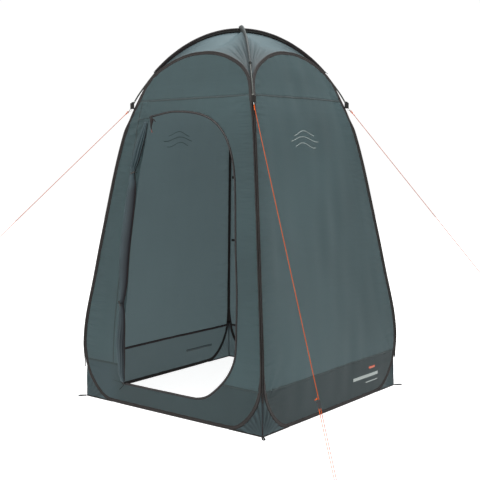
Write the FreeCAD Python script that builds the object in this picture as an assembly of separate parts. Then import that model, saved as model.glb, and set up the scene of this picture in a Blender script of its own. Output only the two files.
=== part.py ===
import FreeCAD, Part
import math
import os

# Privacy shower tent: four flat spring-wire hoops make the walls, and two crossed
# poles over the top make the roof.  Millimetres, +Z up, the door faces -Y.
# The origin is the centre of the footprint, on the ground.

V = FreeCAD.Vector
OUT = "parts"

# ---- driving dimensions -------------------------------------------------------
# distance from the tent's middle to the wall, at each height: (height, distance)
WALL_PROFILE = [
    (0, 598), (200, 601), (400, 592), (600, 563), (800, 533.5), (1000, 502.5),
    (1200, 471), (1400, 432.5), (1500, 406.5), (1563, 385), (1635, 361), (1712, 338), (1797, 309),
]
WALL_BASE = 598
FABRIC = 1.2
SEAM = 0.4
PANEL_CLEAR = 4.0
EDGE_CLEAR = 0.6
LOWER_SEAM_Z = 207
UPPER_SEAM_Z = 1563

HOOP_WIRE_R = 1.4
HOOP_BORE_R = 1.5
HOOP_SLEEVE_R = 4.0
HOOP_GAP = 6.0
HOOP_BOTTOM_CORNER = [(403, 4), (440, 11), (477, 32), (517, 66), (553, 112), (580, 163)]
HOOP_SIDE_Z = (228, 1560)
HOOP_SIDE_STEPS = 10
HOOP_CROWN = [(354, 1637), (322, 1683), (268, 1727), (161, 1776), (60, 1797)]

DOOR_TOP_ARC = [(-271, 1477), (-121, 1500), (72, 1483)]
DOOR_RIGHT = [
    (165, 1449), (239, 1393), (294, 1319), (330, 1234), (360, 1086), (392, 839), (420, 629),
    (436, 450), (435, 345), (412, 283), (367, 221), (309, 167), (250, 129),
]
DOOR_BOTTOM = [(192, 114), (-314, 114)]
DOOR_SEAM = [(-344, 1563), (-387, 0)]
GUSSET_FOOT_X = 440
GUSSET_TOP_Z = 185
ZIP_R = 2.5
ZIP_STEPS = 26

POLE_FOOT_R = 403.5
POLE_FOOT_Z = 1546
POLE_RADIUS = 4.0
CROWN_LEFT_RIGHT = 1942
CROWN_FRONT_REAR = 1954
CROWN_ROOF = 1915
ROOF_FOOT_R = 391.5
POLE_BEND = 0.845
SLEEVE_END_R = 318
ROOF_END_X = 334
ROOF_RIM_INSET = 5.2
ROOF_STEPS = 16
SLEEVE_RADII = {"left_right": 6.0, "front_rear": 5.5}
SLEEVE_ROOM = 0.1

SOCKET_R = 8.0
SOCKET_Z = (1526, 1558)
SOCKET_LIP_H = 4.0
SOCKET_LIP_INSET = 2.5
SOCKET_ROOM = 0.8
STRAP_Z = (1526, 1556)
STRAP_GAP = 0.5
STRAP_T = 4.5
RING_R = 5.5
RING_WIRE = 1.2
RING_U = 584.0
RING_Z = 1519.0
LASHING_REACH = 16.0
LASHING_HALF = 3.5
LASHING_INSET = 2.6

ROPE_R = 1.5
ROPE_GAP = 8.0
EYE_R = 4.0
# each guy: corner turn in degrees, a point that it is aimed at, and how far along
# it the runner and the end loop are
GUYS = {
    "front_left": (180, (-901, -901, 866), 975, 1130),
    "front_right": (270, (1289, -1019, 3), 1463, 1835),
    "rear_right": (0, (940, 940, 620), 1205, 1360),
}
RUNNER = (36.0, 15.0, 6.0)
RUNNER_HOLE = 1.85

PEG_LOOP_LENGTH = 40.0
PEG_LOOP_WIDTH = 18.0
PEG_LOOP_WALL = 3.5
PEG_LOOP_T = 3.0

# the rolled door: (height, distance left of its sewn edge, half width, half depth)
ROLL_SECTIONS = [
    (128, 10, 15, 9), (330, 10, 27, 14), (526, 23, 14, 11), (860, 20, 30, 16),
    (1192, 36, 14, 11), (1320, 22, 25, 15), (1455, 15, 12, 9),
]
ROLL_GAP = 6.0
ROLL_SIDES = 16
TIE_Z = (526, 1192)
TIE_R = 1.5
TIE_CLEAR = 0.8
TOGGLE = (30.0, 4.0)
TOGGLE_OUT = 10.0
# how far each toggle leans over from upright, to the right
TOGGLE_TILTS = {"lower": -24, "upper": 70}

SLIDER = (13.0, 9.0, 4.5)
SLIDER_LIFT = 1.6
PULL_PIN_OUT = 12.0
PULL_T = 1.8
# each zip pull's length and width
PULLS = {"upper": (70, 12), "lower": (42, 6)}

# each inner tie: height, length, width
INNER_TIES = [(1146, 40, 16), (756, 46, 14)]
INNER_TIE_T = 1.5

SIDES = {"front": 0, "right": 90, "rear": 180, "left": 270}
LEFT_RIGHT_CORNERS = ("rear_right", "front_left")
CORNERS = {"rear_right": 0, "rear_left": 90, "front_left": 180, "front_right": 270}


# ---- helpers ------------------------------------------------------------------
def save(name, shape):
    """Write one sub-part, and say how sound it is."""
    if not shape.isValid():
        shape.fix(0.01, 0.01, 0.01)
    print(f"{name}: valid {shape.isValid()} solids {len(shape.Solids)} volume {shape.Volume:.0f}")
    shape.exportStep(f"{OUT}/{name}.step")


def spline(points):
    """A smooth curve through the points."""
    curve = Part.BSplineCurve()
    curve.interpolate(points)
    return curve


WALL_CURVE = spline([V(0, -distance, z) for z, distance in WALL_PROFILE])


def wall_distance(z):
    """How far the wall's middle surface is from the tent's middle at height z."""
    low, high = WALL_CURVE.FirstParameter, WALL_CURVE.LastParameter
    for _ in range(40):
        middle = (low + high) / 2
        if WALL_CURVE.value(middle).z < z:
            low = middle
        else:
            high = middle
    return -WALL_CURVE.value(low).y


def on_wall(x, z, outward=0.0):
    """The point of the front wall at x and z, moved outward from the fabric."""
    slope = (wall_distance(z + 5) - wall_distance(z - 5)) / 10 if z > 5 else 0.0
    normal = V(0, -1, -slope)
    normal.normalize()
    return V(x, -wall_distance(z), z) + normal * outward


def smooth_path(points, share=0.45):
    """Straight runs joined by tangent arcs, each as large as its two runs allow."""
    edges = []
    start = points[0]
    for before, corner, after in zip(points, points[1:], points[2:]):
        arriving = corner - before
        leaving = after - corner
        reach = share * min(arriving.Length, leaving.Length)
        arriving.normalize()
        leaving.normalize()
        turn = arriving.getAngle(leaving)
        radius = reach / math.tan(turn / 2)
        towards = leaving - arriving
        towards.normalize()
        centre = corner + towards * (radius / math.cos(turn / 2))
        first = corner - arriving * reach
        last = corner + leaving * reach
        middle = centre - towards * radius
        edges.append(Part.LineSegment(start, first).toShape())
        edges.append(Part.Arc(first, middle, last).toShape())
        start = last
    edges.append(Part.LineSegment(start, points[-1]).toShape())
    return Part.Wire(edges)


def tube(points, radius):
    """A round bar along a smooth path through the points."""
    path = smooth_path(points) if len(points) > 2 else Part.Wire(Part.makePolygon(points).Edges)
    disc = Part.Face(Part.Wire(Part.makeCircle(radius, points[0], points[1] - points[0])))
    return path.makePipe(disc)


def mirrored(shape):
    """The shape and its mirror image across the YZ plane, as one solid."""
    other = shape.mirror(V(0, 0, 0), V(1, 0, 0))
    return shape.fuse(other).removeSplitter()


def turned(shape, degrees):
    """A copy turned about the tent's vertical axis."""
    copy = shape.copy()
    copy.rotate(V(0, 0, 0), V(0, 0, 1), degrees)
    return copy


def diagonal(u, side, z):
    """A point at u along the diagonal to the +X +Y corner, and side across it."""
    return V((u - side) / math.sqrt(2), (u + side) / math.sqrt(2), z)


def prism(outline):
    """An XZ outline, stretched along Y through the front wall."""
    points = [V(x, -720, z) for x, z in outline]
    face = Part.Face(Part.makePolygon(points + points[:1]))
    return face.extrude(V(0, 500, 0))


def grown(outline, amount):
    """The outline's points, each moved out by amount, to the left of the way it runs."""
    moved = []
    for i, (x, z) in enumerate(outline):
        x0, z0 = outline[i - 1]
        x1, z1 = outline[(i + 1) % len(outline)]
        arriving = V(x - x0, 0, z - z0).normalize()
        leaving = V(x1 - x, 0, z1 - z).normalize()
        normal = V(-arriving.z - leaving.z, 0, arriving.x + leaving.x).normalize()
        reach = amount / math.sqrt((1 + arriving.dot(leaving)) / 2)
        moved.append((x + normal.x * reach, z + normal.z * reach))
    return moved


def band(low, high):
    """Everything between two heights."""
    return Part.makeBox(1400, 1400, high - low, V(-700, -700, low))


def frame_at(point, along, out):
    """A placement with its X along, its Z outward, and its origin at the point."""
    x = V(along)
    x.normalize()
    y = V(out).cross(x)
    y.normalize()
    z = x.cross(y)
    matrix = FreeCAD.Matrix(
        x.x, y.x, z.x, point.x,
        x.y, y.y, z.y, point.y,
        x.z, y.z, z.z, point.z,
        0, 0, 0, 1,
    )
    return FreeCAD.Placement(matrix)


def placed(shape, placement):
    """A copy moved to a placement."""
    copy = shape.copy()
    copy.Placement = placement.multiply(copy.Placement)
    return copy


def torus(centre, normal, radius, wire):
    """A closed ring."""
    return Part.makeTorus(radius, wire, centre, normal)


# ---- hoops ----------------------------------------------------------------------
def hoop_outline():
    """The right half of a hoop, from the middle of its foot to its crown, as x and z."""
    low, high = HOOP_SIDE_Z
    side = []
    for step in range(HOOP_SIDE_STEPS + 1):
        z = low + (high - low) * step / HOOP_SIDE_STEPS
        side.append((wall_distance(z) - HOOP_GAP, z))
    foot = (0, HOOP_BOTTOM_CORNER[0][1])
    crown = (0, HOOP_CROWN[-1][1])
    return [foot] + HOOP_BOTTOM_CORNER + side + HOOP_CROWN + [crown]


def hoop_bar(radius):
    """The right half of a round bar bent to the hoop."""
    return tube([on_wall(x, z) for x, z in hoop_outline()], radius)


def build_hoops():
    """The spring wires, and the binding that is sewn over each of them."""
    bore = hoop_bar(HOOP_BORE_R)
    sleeve = mirrored(hoop_bar(HOOP_SLEEVE_R).cut(bore))
    wire = mirrored(hoop_bar(HOOP_WIRE_R))
    for side, degrees in SIDES.items():
        save(f"hoop_sleeve_{side}", turned(sleeve, degrees))
    save("hoop_wires", Part.makeCompound([turned(wire, d) for d in SIDES.values()]))


# ---- walls ------------------------------------------------------------------------
def wall_slab():
    """The front wall's curved sheet, wider than the tent and not yet cut to shape."""
    outer = spline([V(-700, -d - FABRIC / 2, z) for z, d in WALL_PROFILE])
    inner = spline([V(-700, -d + FABRIC / 2, z) for z, d in WALL_PROFILE])
    top = Part.LineSegment(outer.EndPoint, inner.EndPoint)
    foot = Part.LineSegment(inner.StartPoint, outer.StartPoint)
    edges = [curve.toShape() for curve in (outer, top, inner, foot)]
    return Part.Face(Part.Wire(Part.__sortEdges__(edges))).extrude(V(1400, 0, 0))


def hoop_panel():
    """The sheet inside one hoop, clear of the hoop's binding."""
    half = hoop_outline()
    outline = half + [(-x, z) for x, z in reversed(half[1:-1])]
    return wall_slab().common(prism(grown(outline, HOOP_SLEEVE_R + PANEL_CLEAR)))


def door_arc():
    """The top of the doorway, an arc on the front wall."""
    return Part.Arc(*[on_wall(x, z) for x, z in DOOR_TOP_ARC])


def door_edge():
    """The curved edge of the doorway in the XZ plane, from its top left to its foot."""
    arc = Part.Arc(*[V(x, 0, z) for x, z in DOOR_TOP_ARC])
    points = [DOOR_TOP_ARC[-1]] + DOOR_RIGHT + DOOR_BOTTOM[:1]
    return arc, spline([V(x, 0, z) for x, z in points])


def door_points():
    """The doorway's edge as points in x and z, clockwise from its top left."""
    arc, curve = door_edge()
    points = arc.discretize(6)[:-1] + curve.discretize(ZIP_STEPS)
    return [(p.x, p.z) for p in points] + [DOOR_BOTTOM[1]]


def door_prism():
    """The doorway, with room for the zip around it, stretched through the wall."""
    return prism(grown(door_points(), ZIP_R + EDGE_CLEAR))


def zip_track():
    """The zip around the arch, the right side and the foot of the doorway."""
    return tube([on_wall(x, z) for x, z in door_points()], ZIP_R)


def seam_side(sign):
    """All of the front wall on one side of the seam beside the door."""
    (x_top, z_top), (x_foot, z_foot) = DOOR_SEAM
    x_top += sign * SEAM / 2
    x_foot += sign * SEAM / 2
    return prism([(x_foot, z_foot), (x_top, z_top), (sign * 710, z_top), (sign * 710, z_foot)])


def build_walls():
    """Each wall is a foot band, a main panel and a top panel, sewn edge to edge."""
    panel = hoop_panel()
    foot = panel.common(band(0, LOWER_SEAM_Z - SEAM / 2))
    main = panel.common(band(LOWER_SEAM_Z + SEAM / 2, UPPER_SEAM_Z - SEAM / 2))
    top = panel.common(band(UPPER_SEAM_Z + SEAM / 2, 1900))
    for side, degrees in SIDES.items():
        save(f"{side}_top_panel", turned(top, degrees))
        if side != "front":
            save(f"{side}_foot_band", turned(foot, degrees))
            save(f"{side}_main_panel", turned(main, degrees))
    doorway = door_prism()
    save("front_foot_band", foot.cut(doorway))
    save("front_left_strip", main.common(seam_side(-1)))
    save("door_surround", main.common(seam_side(1)).cut(doorway))
    save("door_zip", zip_track())


def build_gussets():
    """The bent triangle that closes each bottom corner, outside the hoops' rounds."""
    beside = grown(hoop_outline(), -HOOP_SLEEVE_R - EDGE_CLEAR)[2:len(HOOP_BOTTOM_CORNER) + 2]
    edge = WALL_BASE + 2
    outline = [(GUSSET_FOOT_X, 0)] + beside + [(edge, beside[-1][1]), (edge, 0)]
    sheet = wall_slab().common(prism(outline)).common(band(0, GUSSET_TOP_Z))
    other = turned(sheet.mirror(V(0, 0, 0), V(1, 0, 0)), 90)
    gusset = sheet.fuse(other).removeSplitter()
    for corner_name, degrees in CORNERS.items():
        save(f"corner_gusset_{corner_name}", turned(gusset, degrees + 90))


# ---- roof ---------------------------------------------------------------------------
def pole_height(r, crown, foot_r=POLE_FOOT_R):
    """A bent pole's height where it is r from the middle along both X and Y."""
    share = r / foot_r
    return crown - (crown - POLE_FOOT_Z) * (POLE_BEND * share**2 + (1 - POLE_BEND) * share**6)


def pole_points(reach, crown, steps=9):
    """A pole's route from one end to the other, in the diagonal plane."""
    across = [reach * math.sin(math.pi / 2 * (2 * i / steps - 1)) for i in range(steps + 1)]
    return [V(r, r, pole_height(abs(r), crown)) for r in across]


def build_poles():
    """Two crossed poles, the sleeves over their middles, and their end fittings."""
    routes = {"left_right": (0, CROWN_LEFT_RIGHT), "front_rear": (90, CROWN_FRONT_REAR)}
    side = 2 * SLEEVE_END_R
    middle = Part.makeBox(side, side, 900, V(-SLEEVE_END_R, -SLEEVE_END_R, 1200))
    for name, (degrees, crown) in routes.items():
        rod = tube(pole_points(POLE_FOOT_R, crown), POLE_RADIUS)
        save(f"roof_pole_{name}", turned(rod, degrees))
        bore = tube(pole_points(POLE_FOOT_R, crown), POLE_RADIUS + SLEEVE_ROOM)
        skin = tube(pole_points(POLE_FOOT_R, crown), SLEEVE_RADII[name])
        save(f"pole_sleeve_{name}", turned(skin.cut(bore).common(middle), degrees))


def arch_point(arch, x):
    """The point of the arch curve at x."""
    low, high = arch.FirstParameter, arch.LastParameter
    for _ in range(40):
        middle = (low + high) / 2
        if arch.value(middle).x < x:
            low = middle
        else:
            high = middle
    return arch.value(low)


def build_roof():
    """Four gores, each stretched from the crown of one hoop to the two poles."""
    half = [(0, HOOP_CROWN[-1][1])] + HOOP_CROWN[::-1]
    outline = [(-x, z) for x, z in half[::-1]] + half[1:]
    arch = spline([on_wall(x, z) for x, z in outline])
    rim = []
    ridge = []
    for i in range(ROOF_STEPS + 1):
        x = ROOF_END_X * (2 * i / ROOF_STEPS - 1)
        rim.append(arch_point(arch, x) + V(0, ROOF_RIM_INSET, 1))
        z = pole_height(abs(x), CROWN_ROOF, ROOF_FOOT_R)
        ridge.append(V(x, -abs(x) - SEAM, z))
    middle = ROOF_STEPS // 2
    pieces = []
    for a, b in ((0, middle), (middle, ROOF_STEPS)):
        low = spline(rim[a:b + 1]).toShape()
        high = spline(ridge[a:b + 1]).toShape()
        pieces.append(Part.makeRuledSurface(low, high).extrude(V(0, 0, -FABRIC)))
    gore = pieces[0].fuse(pieces[1]).removeSplitter()
    for side, degrees in SIDES.items():
        save(f"roof_gore_{side}", turned(gore, degrees))


# ---- pole ends and guys ---------------------------------------------------------------
def socket(crown):
    """The moulded cup that the end of the pole with this crown stands in."""
    low, high = SOCKET_Z
    u = POLE_FOOT_R * math.sqrt(2)
    cup = Part.makeCylinder(SOCKET_R, high - low, diagonal(u, 0, low))
    lip = Part.makeCylinder(SOCKET_R - SOCKET_LIP_INSET, SOCKET_LIP_H, diagonal(u, 0, high))
    room = tube(pole_points(POLE_FOOT_R, crown), POLE_RADIUS + SOCKET_ROOM)
    return cup.fuse(lip).cut(room).removeSplitter()


def strap():
    """The webbing that ties a pole's cup to the two hoops beside it."""
    low, high = STRAP_Z
    u = POLE_FOOT_R * math.sqrt(2)
    inner = SOCKET_R + STRAP_GAP
    outer = inner + STRAP_T
    start = (wall_distance(low) * 2 - HOOP_GAP) / math.sqrt(2) + HOOP_SLEEVE_R + EDGE_CLEAR
    pieces = []
    for radius in (outer, inner):
        a, b, c = diagonal(u, -radius, low), diagonal(u + radius, 0, low), diagonal(u, radius, low)
        d, e = diagonal(start, radius, low), diagonal(start, -radius, low)
        edges = [Part.Arc(a, b, c).toShape()]
        edges += [Part.LineSegment(p, q).toShape() for p, q in ((c, d), (d, e), (e, a))]
        pieces.append(Part.Face(Part.Wire(edges)).extrude(V(0, 0, high - low)))
    return pieces[0].cut(pieces[1])


def ring():
    """The steel ring that hangs under the strap."""
    across = diagonal(0, 1, 0)
    return torus(diagonal(RING_U, 0, RING_Z), across, RING_R, RING_WIRE)


def lashing_axis():
    """The way that the lashing leaves the ring, in the diagonal plane."""
    return diagonal(0.8, 0, -0.6)


def guy_start():
    """Where a guy's eye is, beside the +X +Y corner."""
    return diagonal(RING_U, 0, RING_Z) + lashing_axis() * LASHING_REACH


def lashing():
    """The black cord loop between the ring and the guy."""
    along = lashing_axis()
    across = diagonal(0, 1, 0)
    half = LASHING_HALF
    near = diagonal(RING_U, 0, RING_Z) + along * (RING_R - LASHING_INSET + half)
    far = guy_start() - along * half
    a, b = near + across * half, far + across * half
    c, d = far - across * half, near - across * half
    edges = [
        Part.LineSegment(a, b).toShape(),
        Part.Arc(b, far + along * half, c).toShape(),
        Part.LineSegment(c, d).toShape(),
        Part.Arc(d, near - along * half, a).toShape(),
    ]
    disc = Part.Face(Part.Wire(Part.makeCircle(RING_WIRE, a, along)))
    first = Part.Wire(edges[:2]).makePipe(disc)
    disc = Part.Face(Part.Wire(Part.makeCircle(RING_WIRE, c, along * -1)))
    second = Part.Wire(edges[2:]).makePipe(disc)
    return first.fuse(second).removeSplitter()


def guy_line(name):
    """A guy's start, its direction, and the way across to its returning leg."""
    degrees, target, _, _ = GUYS[name]
    start = guy_start()
    turn = FreeCAD.Rotation(V(0, 0, 1), degrees)
    start = turn.multVec(start)
    along = V(*target) - start
    along.normalize()
    across = along.cross(V(0, 0, 1))
    across.normalize()
    return start, along, across


def guy_rope(name):
    """One guy: its eye, its knot, the long run, the end loop and the returning leg."""
    start, along, across = guy_line(name)
    _, _, runner_at, end_at = GUYS[name]
    turn = ROPE_GAP / 2
    first = start + along * EYE_R
    far = start + along * (end_at - turn)
    back = far + across * ROPE_GAP
    stop = start + along * runner_at + across * ROPE_GAP
    bend = start + along * end_at + across * turn
    edges = [
        Part.LineSegment(first, far).toShape(),
        Part.Arc(far, bend, back).toShape(),
        Part.LineSegment(back, stop).toShape(),
    ]
    disc = Part.Face(Part.Wire(Part.makeCircle(ROPE_R, first, along)))
    rope = Part.Wire(edges).makePipe(disc)
    print(f"guy {name}: end loop radius {turn}, rope length {Part.Wire(edges).Length:.0f}")
    eye = torus(start, across, EYE_R, ROPE_R)
    knot_start = start + along * (EYE_R + 0.5)
    knot = Part.makeCone(3.0, 3.8, 4, knot_start, along)
    knot = knot.fuse(Part.makeCone(3.8, 2.2, 5, knot_start + along * 4, along))
    return rope.fuse(knot).fuse(eye)


def runner(name):
    """The plastic slide that sets a guy's tension, with a hole for each leg."""
    start, along, across = guy_line(name)
    runner_at = GUYS[name][2]
    length, width, height = RUNNER
    middle = start + along * runner_at + across * (ROPE_GAP / 2)
    place = frame_at(middle, along, along.cross(across))
    block = Part.makeBox(length, width, height, V(-length / 2, -width / 2, -height / 2))
    block = block.makeFillet(2.0, block.Edges)
    for y in (-ROPE_GAP / 2, ROPE_GAP / 2):
        hole = Part.makeCylinder(RUNNER_HOLE, length + 2, V(-length / 2 - 1, y, 0), V(1, 0, 0))
        block = block.cut(hole)
    print(f"slide {name}: along {along}, at {middle}")
    return placed(block, place)


def build_corners():
    """What is on the four upper corners."""
    for name, degrees in CORNERS.items():
        crown = CROWN_LEFT_RIGHT if name in LEFT_RIGHT_CORNERS else CROWN_FRONT_REAR
        save(f"pole_socket_{name}", turned(socket(crown), degrees))
    save("pole_straps", Part.makeCompound([turned(strap(), d) for d in CORNERS.values()]))
    guyed = [CORNERS[name] for name in GUYS]
    save("guy_rings", Part.makeCompound([turned(ring(), d) for d in guyed]))
    save("guy_ring_rear_left", turned(ring(), CORNERS["rear_left"]))
    save("guy_lashings", Part.makeCompound([turned(lashing(), d) for d in guyed]))
    for name in GUYS:
        save(f"guy_rope_{name}", guy_rope(name))
        save(f"guy_runner_{name}", runner(name))


def build_peg_loops():
    """Webbing loops at the ground corners, for the pegs."""
    half = PEG_LOOP_WIDTH / 2
    start = WALL_BASE * math.sqrt(2) + 3
    pieces = []
    for inset in (0, PEG_LOOP_WALL):
        radius = half - inset
        centre = start + PEG_LOOP_LENGTH - half
        root = start + inset
        a, b, c = diagonal(centre, -radius, 0), diagonal(centre + radius, 0, 0), diagonal(centre, radius, 0)
        d, e = diagonal(root, radius, 0), diagonal(root, -radius, 0)
        edges = [Part.Arc(a, b, c).toShape()]
        edges += [Part.LineSegment(p, q).toShape() for p, q in ((c, d), (d, e), (e, a))]
        pieces.append(Part.Face(Part.Wire(edges)).extrude(V(0, 0, PEG_LOOP_T)))
    loop = pieces[0].cut(pieces[1])
    for name, degrees in CORNERS.items():
        save(f"peg_loop_{name}", turned(loop, degrees))


# ---- door -------------------------------------------------------------------------------
def sewn_edge_x(z):
    """Where the door's sewn edge is at height z."""
    (x_top, z_top), (x_foot, z_foot) = DOOR_TOP_ARC[0], DOOR_BOTTOM[1]
    return x_foot + (x_top - x_foot) * (z - z_foot) / (z_top - z_foot)


def roll_centre(z, left, depth):
    """The middle of the rolled door at height z."""
    return on_wall(sewn_edge_x(z) - left, z, FABRIC / 2 + ROLL_GAP + depth)


def build_roll():
    """The rolled-up door, tied back beside the doorway, with its two loops."""
    wires = []
    for z, left, width, depth in ROLL_SECTIONS:
        centre = roll_centre(z, left, depth)
        turns = [2 * math.pi * i / ROLL_SIDES for i in range(ROLL_SIDES + 1)]
        points = [centre + V(width * math.cos(t), depth * math.sin(t), 0) for t in turns[:-1]]
        wires.append(Part.makePolygon(points + points[:1]))
    save("door_roll", Part.makeLoft(wires, True, True))
    loops = []
    for z, left, width, depth in ROLL_SECTIONS:
        if z in TIE_Z:
            centre = roll_centre(z, left, depth)
            across = width + TIE_R + TIE_CLEAR
            out = depth + TIE_R + TIE_CLEAR
            angles = [math.radians(110 + i * 320 / 11) for i in range(12)]
            points = [centre + V(across * math.cos(a), out * math.sin(a), 0) for a in angles]
            loops.append(tube(points, TIE_R))
    save("door_tie_loops", Part.makeCompound(loops))


def toggle(tilt, z, left, width, depth):
    """A small turned bar that holds a tie loop shut, leaning by the tilt."""
    length, radius = TOGGLE
    waist = radius * 0.6
    profile = [
        V(0, 0, -length / 2), V(radius * 0.8, 0, -length / 2), V(radius, 0, -length / 2 + 2),
        V(waist, 0, -2), V(waist, 0, 2), V(radius, 0, length / 2 - 2),
        V(radius * 0.8, 0, length / 2), V(0, 0, length / 2),
    ]
    bar = Part.Face(Part.makePolygon(profile + profile[:1])).revolve(V(0, 0, 0), V(0, 0, 1), 360)
    centre = roll_centre(z, left, depth) + V(width * 0.75, -depth * 0.75 - TOGGLE_OUT, 0)
    bar.rotate(V(0, 0, 0), V(0, 1, 0), tilt)
    bar.translate(centre)
    print(f"toggle at {centre}")
    return bar


def slider():
    """A zip slider in its own frame: X along the track, Z outward."""
    length, width, height = SLIDER
    body = Part.makeBox(length, width, height, V(-length / 2, -width / 2, SLIDER_LIFT))
    body = body.makeFillet(1.2, [e for e in body.Edges if abs(e.Vertexes[0].Z - e.Vertexes[-1].Z) > 1])
    body = body.cut(Part.makeCylinder(ZIP_R + 0.9, 20, V(-10, 0, 0), V(1, 0, 0)))
    bail = Part.makeBox(8, 1.6, 4.4, V(-4, -0.8, 6.0))
    gap = Part.makeBox(5, 3, 2.2, V(-2.5, -1.5, 6.6))
    return body.fuse(bail.cut(gap)).removeSplitter()


def puller(length, width):
    """A zip pull in its own frame: it hangs along -Z from a pin along X."""
    outline = [
        (-2.0, 1.0), (2.0, 1.0), (width * 0.6, -length * 0.25), (width * 0.5, -length * 0.5),
        (2.0, -length), (-2.0, -length), (-width * 0.5, -length * 0.5), (-width * 0.6, -length * 0.25),
    ]
    points = [V(x, -PULL_T / 2, z) for x, z in outline]
    return Part.Face(Part.makePolygon(points + points[:1])).extrude(V(0, PULL_T, 0))


def build_zip_pulls():
    """Two sliders parked at the two ends of the zip, each with its pull."""
    arc = door_arc().toShape()
    circle = arc.Curve
    axis = circle.Axis if circle.Axis.y < 0 else circle.Axis * -1
    upper = arc.discretize(20)[1]
    lower = on_wall(DOOR_BOTTOM[1][0] + 12, DOOR_BOTTOM[1][1])
    print(f"door arc centre {circle.Center} axis {axis} radius {circle.Radius}")
    along = axis.cross(upper - circle.Center)
    out_low = V(0, -1, 0)
    spots = {"upper": (upper, along, axis), "lower": (lower, V(1, 0, 0), out_low)}
    for name, (point, run, out) in spots.items():
        place = frame_at(point, run, out)
        save(f"zip_slider_{name}", placed(slider(), place))
        pin = place.multVec(V(0, 0, PULL_PIN_OUT))
        pull = puller(*PULLS[name])
        pull.translate(pin)
        print(f"pull {name} pin {pin} run {run}")
        save(f"zip_pull_{name}", pull)


def build_door():
    """The rolled door, its toggles, and the zip sliders."""
    build_roll()
    foot, top = DOOR_BOTTOM[1], DOOR_TOP_ARC[0]
    print(f"sewn edge {on_wall(*foot)} to {on_wall(*top)}")
    names = dict(zip(TIE_Z, ("lower", "upper")))
    for section in ROLL_SECTIONS:
        if section[0] in names:
            name = names[section[0]]
            save(f"door_toggle_{name}", toggle(TOGGLE_TILTS[name], *section))
    build_zip_pulls()


def build_inner_ties():
    """Two short webbing ties sewn inside the rear left corner."""
    ties = []
    for z, reach, width in INNER_TIES:
        inner = wall_distance(z) - FABRIC / 2 - 3.5
        x = -wall_distance(z) + 22
        ties.append(Part.makeBox(reach, INNER_TIE_T, width, V(x, inner, z - width / 2)))
    save("inner_ties", Part.makeCompound(ties))


os.makedirs(OUT, exist_ok=True)
build_hoops()
build_walls()
build_gussets()
build_poles()
build_roof()
build_corners()
build_peg_loops()
build_door()
build_inner_ties()
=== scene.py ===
"""A privacy shower tent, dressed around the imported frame.

Metres, +Z up, the door faces -Y.  Every wall has its own flat coordinates, u along its
foot and z up, and wall_point() turns them into the row frame.
"""

import math

import bpy
import numpy as np
from mathutils import Matrix, Vector, geometry


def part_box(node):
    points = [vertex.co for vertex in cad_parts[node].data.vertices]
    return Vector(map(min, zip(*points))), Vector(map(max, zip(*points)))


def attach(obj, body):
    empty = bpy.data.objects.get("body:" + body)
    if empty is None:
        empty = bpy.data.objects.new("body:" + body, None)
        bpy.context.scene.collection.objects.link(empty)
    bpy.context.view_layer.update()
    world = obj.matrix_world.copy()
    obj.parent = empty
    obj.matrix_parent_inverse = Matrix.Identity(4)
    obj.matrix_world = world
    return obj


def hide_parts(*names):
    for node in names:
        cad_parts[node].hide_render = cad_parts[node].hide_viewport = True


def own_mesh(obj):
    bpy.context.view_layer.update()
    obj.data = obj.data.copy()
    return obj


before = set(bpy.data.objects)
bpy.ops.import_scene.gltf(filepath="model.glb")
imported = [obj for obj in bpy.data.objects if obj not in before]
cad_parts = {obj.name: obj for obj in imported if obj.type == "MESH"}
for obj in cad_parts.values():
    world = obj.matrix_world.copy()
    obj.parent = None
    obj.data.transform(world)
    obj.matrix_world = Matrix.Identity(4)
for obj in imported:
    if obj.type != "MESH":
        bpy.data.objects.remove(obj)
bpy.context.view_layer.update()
MM = 0.001

# ---- dimensions: the frame's, apart from the hoops' thickness and the roof's ends and drop
# distance from the tent's middle to a wall, at each height: (height, distance), in mm
WALL_PROFILE = [
    (0, 598), (200, 601), (400, 592), (600, 563), (800, 533.5), (1000, 502.5),
    (1200, 471), (1400, 432.5), (1500, 406.5), (1563, 385), (1635, 361), (1712, 338), (1797, 309),
]
HOOP_GAP = 6 * MM
HOOP_BOTTOM_CORNER = [(403, 4), (440, 11), (477, 32), (517, 66), (553, 112), (580, 163)]
HOOP_SIDE_Z = (0.228, 1.560)
HOOP_SIDE_STEPS = 10
HOOP_CROWN = [(354, 1637), (322, 1683), (268, 1727), (161, 1776), (60, 1797)]
HOOP_BAR_R = 3.7 * MM
LOWER_SEAM_Z = 0.207
UPPER_SEAM_Z = 1.563
DOOR_EDGE = [
    (-271, 1477), (-200, 1491), (-121, 1500), (-20, 1497), (72, 1483), (165, 1449), (239, 1393),
    (294, 1319), (330, 1234), (360, 1086), (392, 839), (420, 629), (436, 450), (435, 345),
    (412, 283), (367, 221), (309, 167), (250, 129), (192, 114),
]
DOOR_FOOT_LEFT = (-314, 114)
DOOR_SEAM = [(-344, 1563), (-387, 0)]
POLE_FOOT_R = 403.5 * MM
POLE_FOOT_Z = 1.546
POLE_BEND = 0.845
CROWN = {"left_right": 1.942, "front_rear": 1.954}
ROOF_DROP = 18 * MM
ROOF_END_X = 0.366
SLEEVE_END_R = 0.318
RING_U = 584 * MM
RING_Z = 1.519
LASHING_REACH = 16 * MM
ROPE_R = 1.5 * MM
ROPE_GAP = 8 * MM
EYE_R = 4 * MM
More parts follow.
